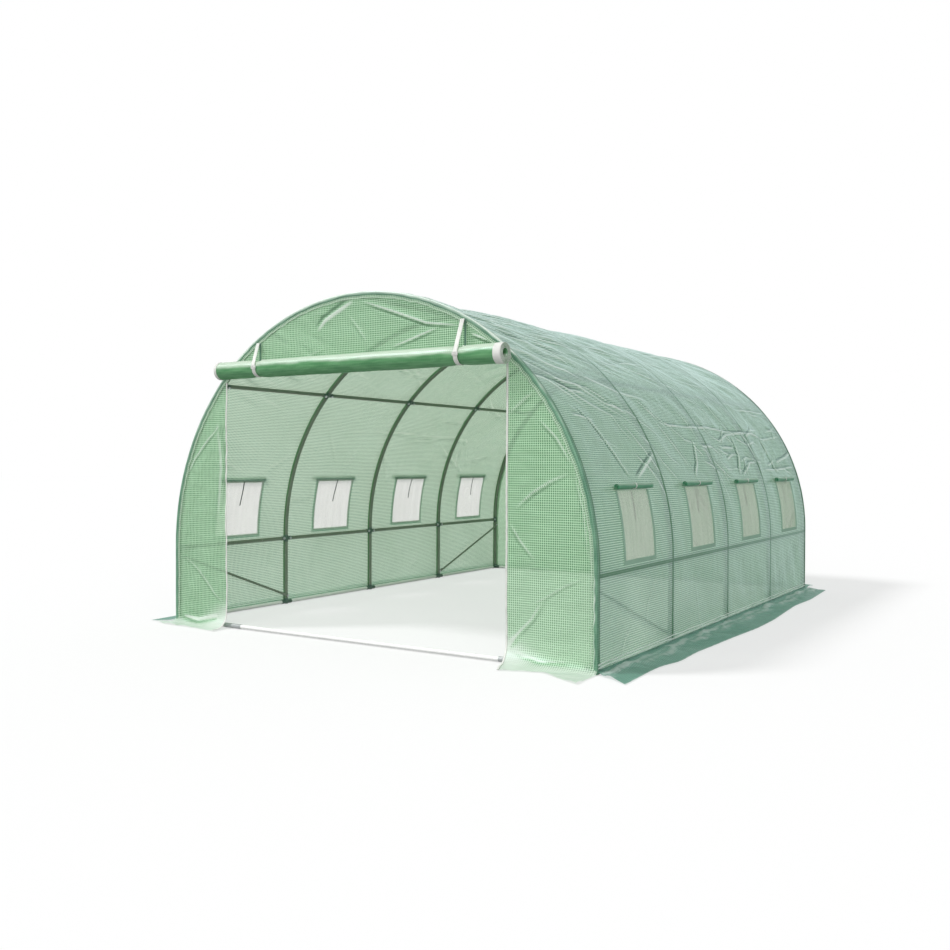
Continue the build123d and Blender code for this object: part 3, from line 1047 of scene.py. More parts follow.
@dataclass
class Cover:
    """The sheet over the hoops, with its window openings."""

    plan: Plan
    skin: float = -0.0012
    climb_steps: tuple[Point, ...] = ((0.9, 0.018), (1.72, 0.0078), (2.86, 0.0112), (5.8, 0.020))
    run_steps: dict[Side, float] = field(default_factory=lambda: {Side.RIGHT: 0.0108, Side.LEFT: 0.0152})
    roof_sag: float = 0.020
    wall_sag: float = 0.010
    support_reach: float = 0.016
    hold: float = 0.0016

    def creases(self) -> list[Crease]:
        """List the folds of both sides, in distance over the arch and Y.

        Returns:
            The drawn folds of the right side, their copies on the left, and scattered ones.
        """
        girth = self.plan.arch.girth
        over = [
            Crease(tuple((girth - s, 0.9 * y - 0.12) for s, y in crease.points), crease.width, 0.5 * crease.depth)
            for crease in RIGHT_CREASES[::3]
        ]
        near = [Crease(crease.points, 0.62 * crease.width, crease.depth) for crease in RIGHT_CREASES]
        crumpled = scatter_creases(7, 20, (0.98, 1.36), (-0.2, 1.9), (0.12, 0.36), (10, 170), 0.009, 0.007)
        crumpled += scatter_creases(8, 16, (1.0, 1.40), (-0.6, 1.9), (0.15, 0.5), (70, 115), 0.009, 0.007)
        streaks = scatter_creases(3, 40, (1.45, girth / 2), (-1.9, 1.7), (0.3, 0.9), (96, 118), 0.013, 0.004)
        front = scatter_creases(11, 30, (1.4, girth / 2), (-1.95, -1.1), (0.35, 0.8), (96, 116), 0.013, 0.006)
        slants = scatter_creases(5, 34, (0.95, 1.9), (-1.8, 1.8), (0.2, 0.55), (100, 150), 0.009, 0.006)
        far = scatter_creases(9, 24, (girth / 2, girth - 0.95), (-1.8, 1.8), (0.3, 0.8), (55, 100), 0.018, 0.005)
        wall = scatter_creases(13, 10, (0.1, 0.85), (-1.9, 1.9), (0.15, 0.4), (-40, 60), 0.010, 0.0026)
        far_wall = scatter_creases(17, 8, (girth - 1.4, girth - 0.1), (-1.9, 1.9), (0.2, 0.6), (20, 160), 0.015, 0.005)
        return [*near, *over, *crumpled, *streaks, *front, *slants, *far, *wall, *far_wall]

    def step_at(self, s: float) -> float:
        """Grid spacing over the arch at a place."""
        return next(step for height, step in self.climb_steps if s < height)

    def crumple(self, s: np.ndarray, y: np.ndarray) -> np.ndarray:
        """Say how crumpled the film is: most on the shoulders, towards the back.

        Args:
            s: distance from the right foot over the arch.
            y: place along the tunnel.

        Returns:
            Crumple from 0 to 1.
        """
        climb = np.minimum(s, self.plan.arch.girth - s)
        shoulder = np.exp(-(((climb - 1.2) / 0.26) ** 2))
        back = 0.35 + 0.65 * np.clip((y + 0.6) / 1.4, 0, 1)
        roof = 0.22 * np.clip((climb - 1.3) / 0.4, 0, 1)
        wall = 0.1 * np.clip(climb / 0.9, 0, 1)
        return np.clip(shoulder * back + roof + wall, 0, 1)

    def support_gap(self, s: np.ndarray, y: np.ndarray) -> np.ndarray:
        """Find how far the nearest hoop or rail is that carries the film.

        Args:
            s: distance from the right foot over the arch.
            y: place along the tunnel.

        Returns:
            Distance in metres.
        """
        gap = np.full(s.shape, 9.0)
        for hoop in self.plan.hoops:
            gap = np.minimum(gap, np.abs(y - hoop))
        for rail in self.plan.rails():
            gap = np.minimum(gap, np.abs(s - rail))
        return gap

    def sag(self, s: np.ndarray, y: np.ndarray) -> np.ndarray:
        """Work out how far the film hangs in between hoops and rails.

        Args:
            s: distance from the right foot over the arch.
            y: place along the tunnel.

        Returns:
            Height over the outline in metres, below 0.
        """
        hoops = np.array(self.plan.hoops)
        bay = hoops[1] - hoops[0]
        along = np.sin(math.pi * (y - hoops[0]) / bay) ** 2
        rails = [0.0, *self.plan.rails(), self.plan.arch.girth]
        up = np.zeros_like(s)
        for low, high in zip(rails, rails[1:]):
            inside = (s >= low) & (s < high)
            up = np.where(inside, np.sin(math.pi * (s - low) / (high - low)), up)
        upness = np.sin(self.plan.arch.angle(s))
        return -(self.wall_sag + (self.roof_sag - self.wall_sag) * upness) * along * up

    def relief(self, s: np.ndarray, y: np.ndarray) -> tuple[np.ndarray, np.ndarray]:
        """Work out the film's height over its outline and its crease marks, which paint highlight and shade.

        Args:
            s: distance from the right foot over the arch.
            y: place along the tunnel.

        Returns:
            Height in metres and mark.
        """
        upness = np.sin(self.plan.arch.angle(s))
        roof = np.clip((upness - 0.45) / 0.4, 0, 1)
        front = np.exp(-((y + self.plan.half_length) / 0.9))
        off_crown = np.abs(s - self.plan.arch.girth / 2)
        drawn = ripples(off_crown, y, 21, 18, 0.05, 0.17, -17.0, 10.0)
        broad = ripples(s, y, 22, 10, 0.22, 0.7, 20.0, 60.0)
        fine = ripples(s, y, 23, 12, 0.06, 0.14, 35.0, 70.0)
        folds, mark = fold_creases(self.creases(), s, y)
        height = self.sag(s, y)
        height = height + 0.0028 * roof * (0.35 + front) * drawn
        height = height + (0.0025 + 0.002 * roof) * broad + 0.0007 * fine + folds
        # Painted highlight and shade of the creases, weaker on the left half, and along the drawn ripples of the roof.
        mark = np.where(s > self.plan.arch.girth / 2, 0.45, 1.0) * mark
        mark = np.clip(mark + 0.42 * roof * (0.25 + front) * drawn, -1, 1)

        gap = self.support_gap(s, y)
        free = np.clip((gap - 0.01) / 0.10, 0, 1)
        height = height * (0.25 + 0.75 * free)
        lowest = -self.hold - 0.35 * np.clip(gap - self.support_reach, 0, None)
        height = np.maximum(height, lowest)

        ends = np.clip((self.plan.half_length - np.abs(y)) / 0.05, 0, 1)
        height = height * ends
        for centre in self.plan.window_centres:
            for low in (self.plan.window_sill, self.plan.arch.girth - self.plan.window_top):
                high = low + self.plan.window_top - self.plan.window_sill
                off_s = np.maximum(np.maximum(low - s, s - high), 0)
                off_y = np.maximum(np.abs(y - centre) - self.plan.window_half, 0)
                calm = np.clip((np.hypot(off_s, off_y) - 0.03) / 0.07, 0, 1)
                height = height * calm
                mark = mark * calm
        foot = np.clip(np.minimum(s, self.plan.arch.girth - s) / 0.06, 0, 1)
        return height * foot, mark

    def lines(self, side: Side) -> tuple[np.ndarray, np.ndarray]:
        """Space the grid of one half, with a line at each edge of each window.

        Args:
            side: left or right half.

        Returns:
            Distances over the arch and places along the tunnel.
        """
        plan, girth = self.plan, self.plan.arch.girth
        if side is Side.RIGHT:
            stops = [0.0, plan.window_sill, plan.window_top, girth / 2]
        else:
            stops = [girth / 2, girth - plan.window_top, girth - plan.window_sill, girth]
        heights = [height for height, _ in self.climb_steps if stops[0] < height < stops[-1]]
        stops = sorted({*stops, *heights})
        rows = np.concatenate([
            spread_between([low, high], self.step_at((low + high) / 2))[: None if high == stops[-1] else -1]
            for low, high in zip(stops, stops[1:])
        ])
        stops = [-plan.half_length]
        for centre in plan.window_centres:
            stops += [centre - plan.window_half, centre + plan.window_half]
        return rows, spread_between([*stops, plan.half_length], self.run_steps[side])

    def build(self, side: Side, finishes: Finishes) -> bpy.types.Object:
        """Make one half of the cover, from the ground to the ridge.

        Args:
            side: left or right half.
            finishes: the object's materials.

        Returns:
            The half's object.
        """
        plan, arch = self.plan, self.plan.arch
        rows, columns = self.lines(side)
        s, y = np.meshgrid(rows, columns, indexing="ij")
        height, mark = self.relief(s, y)
        x, z = arch.place(s, self.skin + height)
        points = np.stack((x, y, z), axis=-1)
        middle_s = (rows[:-1] + rows[1:])[:, None] / 2
        middle_y = (columns[:-1] + columns[1:])[None, :] / 2
        climb = np.minimum(middle_s, arch.girth - middle_s)
        keep = np.ones((len(rows) - 1, len(columns) - 1), bool)
        for centre in plan.window_centres:
            beside = np.abs(middle_y - centre) < plan.window_half
            keep &= ~((climb > plan.window_sill) & (climb < plan.window_top) & beside)
        name, crumple = f"cover_{side.label}", self.crumple(s, y)
        cover = make_sheet(name, points, np.stack((y, s), axis=-1), mark, keep, crumple=crumple)
        strips = tuple(f"cover_{part}_{side.label}" for part in ("roof", "shoulder", "side"))
        hang_on(cover, finishes.cover_film, strips)
        return cover


@dataclass
class EndWall:
    """One end of the tunnel: panels beside the doorway, the gable above and the flaps on the ground."""

    plan: Plan
    end: End
    step: float = 0.0065
    rows: int = 300
    turn_rows: int = 14
    flat_rows: int = 26
    skin: float = 0.0012
    doorway_edges: dict[Side, np.ndarray] = field(default_factory=dict)

    @property
    def face(self) -> float:
        """Y of the film's plane."""
        return self.end.value * (self.plan.half_length - self.skin)

    def outward(self, out: np.ndarray) -> np.ndarray:
        """Y of a point that stands out from the plane."""
        return self.face + self.end.value * out

    def panel(self, side: Side, flap: list[tuple[float, float]], bend: Point, finishes: Finishes) -> bpy.types.Object:
        """Make the panel between the doorway and the corner, and the flap that it runs out into.

        Args:
            side: left or right.
            flap: X and reach of the flap's outer edge, from the doorway to the corner.
            bend: radius of the turn onto the ground at the doorway and at the corner.
            finishes: the object's materials.

        Returns:
            The panel's object.
        """
        plan, arch = self.plan, self.plan.arch
        inner = plan.door_right if side is Side.RIGHT else plan.door_left
        outer = side.value * (arch.radius - self.skin)
        count = math.ceil(abs(outer - inner) / self.step)
        share = np.linspace(0, 1, count + 1)
        across = inner + (outer - inner) * np.sin(share * math.pi / 2)
        top = arch.height(across) - self.skin
        turn = bend[0] + (bend[1] - bend[0]) * share
        edge_x = np.interp(share, np.linspace(0, 1, len(flap)), [x for x, _ in flap])
        reach = np.interp(share, np.linspace(0, 1, len(flap)), [r for _, r in flap])
        columns = [self.drop(*line) for line in zip(across, top, turn, edge_x, reach)]
        x, out, z = np.moveaxis(np.stack(columns, axis=1), -1, 0)
        steps = np.hypot(np.diff(out, axis=0), np.diff(z, axis=0))
        length = np.concatenate((np.zeros((1, x.shape[1])), np.cumsum(steps, axis=0)))
        run = top[None, :] - length
        seed = 31 if side is Side.RIGHT else 41
        folds, mark = fold_creases(self.panel_creases(side), x, run)
        soft = 0.004 * ripples(x, run, seed, 10, 0.16, 0.6, 15.0, 60.0)
        soft = soft + 0.0010 * ripples(x, run, seed + 1, 12, 0.06, 0.13, 0.0, 90.0)
        rim = arch.calm_edge(x, z)
        standing = np.clip(z / 0.05, 0, 1)
        out = out + (np.maximum(soft + folds, -0.002) * rim + 0.0008) * standing
        lying = 1 - standing
        wave = np.abs(ripples(x, out, seed + 2, 6, 0.18, 0.45, 10.0, 70.0))
        z = z + lying * (0.002 + 0.011 * wave * np.clip(out / 0.2, 0, 1))
        # Painted light: paler where the film lies on the ground and in a patch at the doorway foot, standing in for
        # the white floor's light through the film.
        flare = np.clip((0.24 - z) / 0.12, 0, 1) * np.clip(1.25 - np.abs(x - inner) / 0.30 - z / 0.22, 0, 1)
        mark = np.clip(mark + 0.9 * np.maximum(flare, 0.75 * lying), -1, 1)
        points = np.stack((x, self.outward(out), z), axis=-1)
        self.doorway_edges[side] = points[:, 0]
        name = f"{self.end.label}_panel_{side.label}_film"
        flip = (side is Side.RIGHT) == (self.end is End.FRONT)
        crumple = np.full_like(x, 0.35)
        panel = make_sheet(name, points, np.stack((x, run), axis=-1), mark, flip=not flip, crumple=crumple)
        nodes = [f"{self.end.label}_panel_{side.label}"]
        if self.end is End.FRONT:
            nodes.append(f"skirt_front_{side.label}")
        hang_on(panel, finishes.end_film, tuple(nodes))
        return panel

    def drop(self, x: float, head: float, radius: float, x_end: float, length: float) -> np.ndarray:
        """Run one line of a panel down the end, round the turn and out over the ground.

        Args:
            x: where the line hangs.
            head: its upper end.
            radius: radius of the turn onto the ground.
            x_end: X of its lower end.
            length: how far it reaches out.

        Returns:
            X, distance out and Z of each point.
        """
        down = np.linspace(head, radius, self.rows)
        turn = np.linspace(0, math.pi / 2, self.turn_rows + 1)[1:]
        flat = np.linspace(radius, max(length, radius + 0.02), self.flat_rows + 1)[1:]
        z = np.concatenate((down, radius * (1 - np.sin(turn)), np.zeros(self.flat_rows)))
        out = np.concatenate((np.zeros(self.rows), radius * (1 - np.cos(turn)), flat))
        gone = np.clip(out / max(length, 0.05), 0, 1) ** 1.2
        return np.stack((x + (x_end - x) * gone, out, z), axis=-1)

    def panel_creases(self, side: Side) -> list[Crease]:
        """List the folds of one panel, in X and height.

        Args:
            side: left or right.

        Returns:
            Drawn folds at the front, scattered ones at the back.
        """
        if self.end is End.FRONT and side is Side.RIGHT:
            return [
                Crease(((1.03, 0.797), (1.13, 0.878), (1.23, 0.938), (1.34, 0.985)), 0.008, 0.0055),
                Crease(((0.992, 1.286), (1.07, 1.345), (1.147, 1.403)), 0.008, 0.0045),
                Crease(((1.17, 1.26), (1.27, 1.16), (1.36, 1.02)), 0.010, 0.003),
                Crease(((1.10, 0.30), (1.22, 0.36), (1.32, 0.42), (1.44, 0.47)), 0.006, 0.0035),
                Crease(((0.99, 0.09), (1.06, 0.17), (1.13, 0.24), (1.20, 0.35)), 0.012, 0.0035),
                Crease(((1.36, 1.02), (1.42, 0.80), (1.45, 0.55)), 0.007, 0.0025),
                Crease(((1.00, 0.73), (1.06, 0.64), (1.15, 0.54)), 0.010, 0.003),
                Crease(((1.05, 0.06), (1.20, 0.03), (1.36, 0.05)), 0.008, 0.0035),
            ]
        if self.end is End.FRONT:
            return [
                Crease(((-1.43, 0.44), (-1.28, 0.34), (-1.16, 0.22), (-1.08, 0.16)), 0.010, 0.003),
                Crease(((-1.40, 0.94), (-1.32, 1.06), (-1.20, 1.18), (-1.10, 1.26)), 0.009, 0.0035),
                Crease(((-1.12, 0.70), (-1.08, 1.00), (-1.12, 1.30)), 0.022, 0.003),
                Crease(((-1.42, 0.05), (-1.28, 0.03), (-1.12, 0.07)), 0.014, 0.006),
            ]
        middle = side.value * 1.25
        patch = (middle - 0.2, middle + 0.2)
        return scatter_creases(51 + side.value, 7, patch, (0.1, 1.2), (0.15, 0.4), (20, 160), 0.015, 0.005)

    def gable(self, finishes: Finishes) -> bpy.types.Object:
        """Make the film above the doorway.

        Args:
            finishes: the object's materials.

        Returns:
            The gable's object.
        """
        plan, arch = self.plan, self.plan.arch
        across = spread_between([plan.door_left, plan.door_right], self.step)
        bottom = plan.door_head - 0.004
        share = np.linspace(0, 1, 60)[:, None]
        x = np.repeat(across[None, :], 60, axis=0)
        z = bottom + (arch.height(across)[None, :] - self.skin - bottom) * share
        chosen = [
            Crease(((0.03, 1.946), (0.24, 1.875), (0.48, 1.790), (0.68, 1.764)), 0.009, 0.0055),
            Crease(((0.24, 1.674), (0.40, 1.718), (0.56, 1.764)), 0.009, 0.0045),
            Crease(((-0.03, 1.956), (-0.12, 1.915), (-0.24, 1.857), (-0.30, 1.800)), 0.020, 0.005),
            Crease(((0.76, 1.716), (0.83, 1.690), (0.905, 1.663)), 0.009, 0.005),
        ]
        extra = scatter_creases(61 + self.end.value, 4, (-0.8, 0.8), (1.62, 1.9), (0.12, 0.3), (-60, 60), 0.010, 0.003)
        folds, mark = fold_creases([*chosen, *extra], x, z)
        soft = 0.003 * ripples(x, z, 63, 10, 0.15, 0.5, 60.0, 60.0)
        out = np.maximum(soft + folds, -0.002) * arch.calm_edge(x, z)
        points = np.stack((x, self.outward(out), z), axis=-1)
        gable = make_sheet(
            f"{self.end.label}_gable_film", points, np.stack((x, z), axis=-1), mark, flip=self.end is End.BACK
        )
        hang_on(gable, finishes.end_film, (f"{self.end.label}_gable",))
        return gable

    def closed_door(self, finishes: Finishes) -> bpy.types.Object:
        """Make the closed door of the back end as one sheet between its two zips.

        Args:
            finishes: the object's materials.

        Returns:
            The door's object.
        """
        plan = self.plan
        across = spread_between([plan.door_left, plan.door_right], 1.3 * self.step)
        up = spread_between([0.0, plan.door_head], 1.3 * self.step)
        z, x = np.meshgrid(up, across, indexing="ij")
        creases = scatter_creases(71, 22, (-0.9, 0.9), (0.1, 1.5), (0.2, 0.7), (20, 160), 0.015, 0.005)
        folds, mark = fold_creases(creases, x, z)
        soft = 0.006 * ripples(x, z, 72, 10, 0.2, 0.8, 10.0, 40.0)
        edge = np.minimum(x - plan.door_left, plan.door_right - x)
        rim = np.clip(edge / 0.05, 0, 1) * np.clip((plan.door_head - z) / 0.05, 0, 1)
        out = np.maximum(soft + folds, -0.002) * rim
        points = np.stack((x, self.outward(out), z), axis=-1)
        door = make_sheet("back_door_film", points, np.stack((x, z), axis=-1), mark, flip=self.end is End.BACK)
        hang_on(door, finishes.end_film, ("back_door",))
        return door


@dataclass
class SideFlap:
    """The flap along one long side, lying outwards on the ground."""

    plan: Plan
    side: Side
    edge: list[Point]
    front_slant: float = 0.12
    rise: float = 0.020
    turn_up: float = 0.03

    def build(self, finishes: Finishes) -> bpy.types.Object:
        """Make the flap.

        Args:
            finishes: the object's materials.

        Returns:
            The flap's object.
        """
        plan, sign = self.plan, self.side.value
        radius = plan.arch.radius
        along = np.linspace(-plan.half_length, plan.half_length, 230)
        share = np.concatenate((np.linspace(0, 0.3, 10), np.linspace(0.3, 1, 12)[1:]))
        y, t = np.meshgrid(along, share, indexing="ij")
        width = np.interp(along, [p[1] for p in self.edge], [p[0] for p in self.edge]) - radius
        padded = np.pad(width, 6, mode="edge")
        width = np.convolve(padded, np.hanning(15)[1:-1] / np.hanning(15).sum(), "valid")[:, None]
        seed = 81 + sign
        near = np.clip((along + plan.half_length) / 0.25, 0, 1)[:, None]
        y = y - self.front_slant * (1 - near) ** 2 * t
        out = width * t
        pucker = np.abs(wobble(along[:, None], seed, 9, 0.10, 0.5))
        drift = 0.040 + 0.012 * wobble(along[:, None], seed + 5, 6, 0.25, 0.9)
        strong = np.clip(0.55 + 0.5 * wobble(along[:, None], seed + 6, 5, 0.4, 1.2), 0, 1)
        crest = strong * np.exp(-(((out - drift) / 0.022) ** 2))
        second = (1 - strong) * np.exp(-(((out - drift - 0.05) / 0.026) ** 2))
        fold = 0.012 * crest + 0.008 * second + 0.005 * pucker * np.exp(-(((out - 0.02) / 0.010) ** 2))
        swell = np.abs(ripples(y, out, seed + 1, 8, 0.14, 0.6, 10.0, 60.0))
        middle = np.clip(out / 0.06, 0, 1) * (1 - t**3)
        z = FLOOR_GAP + self.rise * np.exp(-out / 0.011) + fold + 0.010 * swell * middle
        small = ripples(y, out, seed + 2, 8, 0.05, 0.12, 20.0, 60.0)
        z = z + 0.0012 * np.clip(small, 0, None) * middle
        points = np.stack((sign * (radius + WALL_GAP + out), y, z), axis=-1)
        # Painted highlight along the fold crests and a paler line along the outer edge; painted shade where the flap
        # meets the wall.
        broken = 0.75 + 0.25 * ripples(y, out, seed + 7, 10, 0.03, 0.12, 0.0, 40.0)
        mark = np.clip(1.5 * np.maximum(crest, 0.7 * second) * broken, 0, 0.55)
        mark = np.maximum(mark, 0.75 * np.exp(-(((width - out) / 0.006) ** 2)) * broken)
        mark = mark - 0.8 * np.exp(-((out / 0.010) ** 2)) * (0.6 + 0.4 * pucker)
        name = f"ground_flap_{self.side.label}"
        flap = make_sheet(name, points, np.stack((y, out), axis=-1), mark, flip=self.side is Side.RIGHT)
        hang_on(flap, finishes.skirt_film, (f"skirt_{self.side.label}",))
        return flap


@dataclass
class BackFlap:
    """The flap along the back end."""

    plan: Plan
    reach: float = 0.28
    turn_up: float = 0.03

    def build(self, finishes: Finishes) -> bpy.types.Object:
        """Make the flap.

        Args:
            finishes: the object's materials.

        Returns:
            The flap's object.
        """
        radius = self.plan.arch.radius
        along = np.linspace(-radius, radius, 170)
        share = np.linspace(0, 1, 20)
        x, t = np.meshgrid(along, share, indexing="ij")
        reach = self.reach + 0.018 * wobble(along, 91, 7, 0.2, 0.9)[:, None]
        out = reach * t
        swell = np.abs(ripples(x, out, 92, 8, 0.15, 0.6, 20.0, 60.0))
        z = FLOOR_GAP + self.turn_up * np.exp(-out / 0.011) + 0.010 * swell * np.clip(out / 0.1, 0, 1)
        points = np.stack((x, self.plan.half_length + WALL_GAP + out, z), axis=-1)
        flap = make_sheet("ground_flap_back", points, np.stack((x, out), axis=-1))
        hang_on(flap, finishes.skirt_film, ("skirt_back",))
        return flap


@dataclass
class Roll:
    """Film rolled up on itself, with its layers open to view at the ends."""

    name: str
    centre: Vector
    along: Vector
    wall: Vector
    down: Vector
    length: float
    outer: float
    inner: float
    turns: float
    pinches: tuple[float, ...] = ()
    pinch_depth: float = 0.15
    seed: int = 101
    film: float = 0.0035

    @property
    def spiral(self) -> float:
        """Length of the film's path from the outside to the core."""
        return 2 * math.pi * self.turns * (self.outer + self.inner) / 2

    def radius(self, t: np.ndarray, turn: np.ndarray) -> np.ndarray:
        """Distance of the film from the roll's middle.

        Args:
            t: place along the roll from its middle.
            turn: turns made from the outside, as a share.

        Returns:
            Radius in metres.
        """
        size = self.outer - (self.outer - self.inner) * turn
        for place in self.pinches:
            size = size * (1 - self.pinch_depth * np.exp(-(((t - place) / 0.040) ** 2)))
        return size

    def layers(self, t: np.ndarray, swell: float = 0.0) -> np.ndarray:
        """Places of the film on the spiral.

        Args:
            t: places along the roll from its middle.
            swell: extra radius, for a band round the roll.

        Returns:
            Points, along by round by 3.
        """
        rounds = math.ceil(self.turns * 22)
        turn = np.linspace(0, 1, rounds + 1)
        place, share = np.meshgrid(t, turn, indexing="ij")
        angle = share * self.turns * 2 * math.pi
        lumps = ripples(place, angle * self.outer, self.seed, 8, 0.08, 0.5, 70.0, 40.0)
        lumps = lumps + 0.9 * wobble(place, self.seed + 1, 5, 0.3, 1.4)
        for pinch in self.pinches:
            off = np.abs(place - pinch)
            drawn = np.exp(-(((off - 0.030) / 0.028) ** 2))
            lumps = lumps + 2.2 * drawn * np.sin(9 * angle + 40 * (place - pinch))
        size = self.radius(place, share) * (1 - 0.014 - 0.012 * lumps) + swell
        wall, down, along = (np.array(v) for v in (self.wall, self.down, self.along))
        ring = np.cos(angle)[..., None] * wall + np.sin(angle)[..., None] * down
        return np.array(self.centre) + place[..., None] * along + size[..., None] * ring

    def build(self, material: bpy.types.Material, slot: str, nodes: tuple[str, ...], flip: bool) -> bpy.types.Object:
        """Make the roll.

        Args:
            material: its finish.
            slot: not used.
            nodes: the nodes that it stands for.
            flip: turn the faces the other way.

        Returns:
            The roll's object.
        """
        t = np.linspace(-self.length / 2, self.length / 2, math.ceil(self.length / 0.016))
        points = self.layers(t)
        wound = np.linspace(0, self.spiral, points.shape[1])
        cloth = cloth_grid(t, wound)
        roll = make_sheet(self.name, points, cloth, flip=flip)
        thicken(roll, self.film, -1.0 if flip else 1.0)
        hang_on(roll, material, nodes)
        return roll

    def band(self, name: str, low: float, high: float, material: bpy.types.Material, slot: str, flip: bool) -> None:
        """Make a bound edge of the rolled film at one end of the roll.

        Args:
            name: the band's name.
            low, high: where it lies along the roll, from the roll's middle.
            material: its finish.
            slot: not used.
            flip: turn the faces the other way.
        """
        t = np.linspace(low, high, 5)
        points = self.layers(t, 0.0010)
        wound = np.linspace(0, self.spiral, points.shape[1])
        cloth = cloth_grid(t, wound)
        band = make_sheet(name, points, cloth, flip=flip)
        thicken(band, 0.0016)
        hang_on(band, material)


@dataclass
class Door:
    """The door rolled up over the doorway, its two straps and the bound edges of the opening."""

    plan: Plan
    straps: Point = (-0.703, 0.733)
    strap_tops: tuple[Point, Point] = ((-0.763, 1.757), (0.714, 1.796))
    strap_width: float = 0.026
    back_width: float = 0.012
    core: float = 0.024
    turns: float = 5.3
    left_short: float = 0.030

    def roll(self) -> Roll:
        """Describe the roll from the room that the model keeps for it.

        Returns:
            The roll.
        """
        low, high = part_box("door_roll")
        low.x += self.left_short
        middle = (low + high) / 2
        return Roll(
            "rolled_door", middle, Vector((1, 0, 0)), Vector((0, 1, 0)), Vector((0, 0, -1)),
            high.x - low.x, (high.z - low.z) / 2, self.core, self.turns, tuple(x - middle.x for x in self.straps),
        )

    def build(self, finishes: Finishes) -> None:
        """Make the rolled door, its bands and its straps.

        Args:
            finishes: the object's materials.
        """
        roll = self.roll()
        roll.build(finishes.rolled_film, "flap_film", ("door_roll",), flip=True)
        half = roll.length / 2
        roll.band("door_band_right", half - 0.046, half + 0.001, finishes.white_tape, "white_tape", True)
        roll.band("door_band_left", -half - 0.001, -half + 0.018, finishes.white_tape, "white_tape", True)
        for name, x, top in zip(("left", "right"), self.straps, self.strap_tops):
            self.strap(f"door_strap_{name}", x, top, roll, finishes)

    def strap(self, name: str, x: float, top: Point, roll: Roll, finishes: Finishes) -> None:
        """Make one strap: up the gable, slanting out to the roll and round it.

        Args:
            name: the strap's name.
            x: where it goes round the roll.
            top: X and Z of its upper end on the gable.
            roll: the rolled door.
            finishes: the object's materials.
        """
        wall = -self.plan.half_length - 0.004
        radius = roll.outer * (1 - roll.pinch_depth) + 0.0015
        centre_y, centre_z = roll.centre.y, roll.centre.z
        dy, dz = wall - 0.004 - centre_y, top[1] - centre_z
        toward = math.atan2(dz, dy)
        leave = toward + math.acos(radius / math.hypot(dy, dz))
        round_it = np.linspace(leave, 2 * math.pi + 0.25, 40)
        path = [(wall - 0.004, top[1])]
        path += [(centre_y + radius * math.cos(a), centre_z + radius * math.sin(a)) for a in round_it]
        path += [(wall, centre_z + 0.03), (wall, centre_z + 0.06)]
        line = np.array(path)
        steps = distances_along(line)
        across = np.linspace(-self.strap_width / 2, self.strap_width / 2, 5)
        lean = [x + (top[0] - x) * min(max((z - centre_z) / (top[1] - centre_z), 0.0), 1.0) for _, z in path]
        points = np.array([[(middle + a, y, z) for a in across] for middle, (y, z) in zip(lean, line)])
        cloth = cloth_grid(steps, across)
        strap = make_sheet(name, points, cloth)
        thicken(strap, 0.0018)
        hang_on(strap, finishes.white_tape, ("door_straps",))
        self.back_leg(name, top, roll, finishes)
        self.buckle(name, x, roll, finishes)

    def back_leg(self, name: str, top: Point, roll: Roll, finishes: Finishes) -> None:
        """Make the strap's other leg, which hangs down the gable behind the roll, in a dark tape that paints the white
        strap's shade.

        Args:
            name: the strap's name.
            top: X and Z of its upper end on the gable.
            roll: the rolled door.
            finishes: the object's materials.
        """
        length = top[1] - roll.centre.z - 0.01
        down = np.linspace(0.0, length, 8)
        across = np.linspace(-self.back_width / 2, self.back_width / 2, 3)
        x, drop = np.meshgrid(top[0] + 0.016 + across, down)
        y = np.full_like(x, -self.plan.half_length - 0.0062)
        points = np.stack((x, y, top[1] - drop), axis=-1)
        cloth = cloth_grid(down, across)
        leg = make_sheet(f"{name}_back", points, cloth)
        thicken(leg, 0.0014)
        hang_on(leg, finishes.shaded_strap_tape)

    def buckle(self, name: str, x: float, roll: Roll, finishes: Finishes) -> None:
        """Model the slide buckle on the strap's front: a rounded plate with two slots.

        Args:
            name: the strap's name.
            x: where the strap goes round the roll.
            roll: the rolled door.
            finishes: the object's materials.
        """
        deselect_all()
        front = roll.outer * (1 - roll.pinch_depth) + 0.0024
        place = Vector((x, roll.centre.y - front - 0.0015, roll.centre.z + 0.006))
        bpy.ops.mesh.primitive_cube_add(size=1.0, location=place, scale=(0.036, 0.003, 0.020))
        bpy.ops.object.transform_apply(location=True, rotation=True, scale=True)
        buckle = bpy.context.active_object
        buckle.name = f"{name}_buckle"
        for shift in (-0.0050, 0.0050):
            middle = place + Vector((0, 0, shift))
            bpy.ops.mesh.primitive_cube_add(size=1.0, location=middle, scale=(0.029, 0.02, 0.0045))
            slot = bpy.context.active_object
            cut = buckle.modifiers.new("slot", "BOOLEAN")
            cut.operation = "DIFFERENCE"
            cut.object = slot
            apply_modifiers(buckle)
            bpy.data.objects.remove(slot)
        rounding = buckle.modifiers.new("rounding", "BEVEL")
        rounding.width = 0.0006
        rounding.segments = 2
        apply_modifiers(buckle)
        hang_on(buckle, finishes.white_plastic)
        deselect_all()

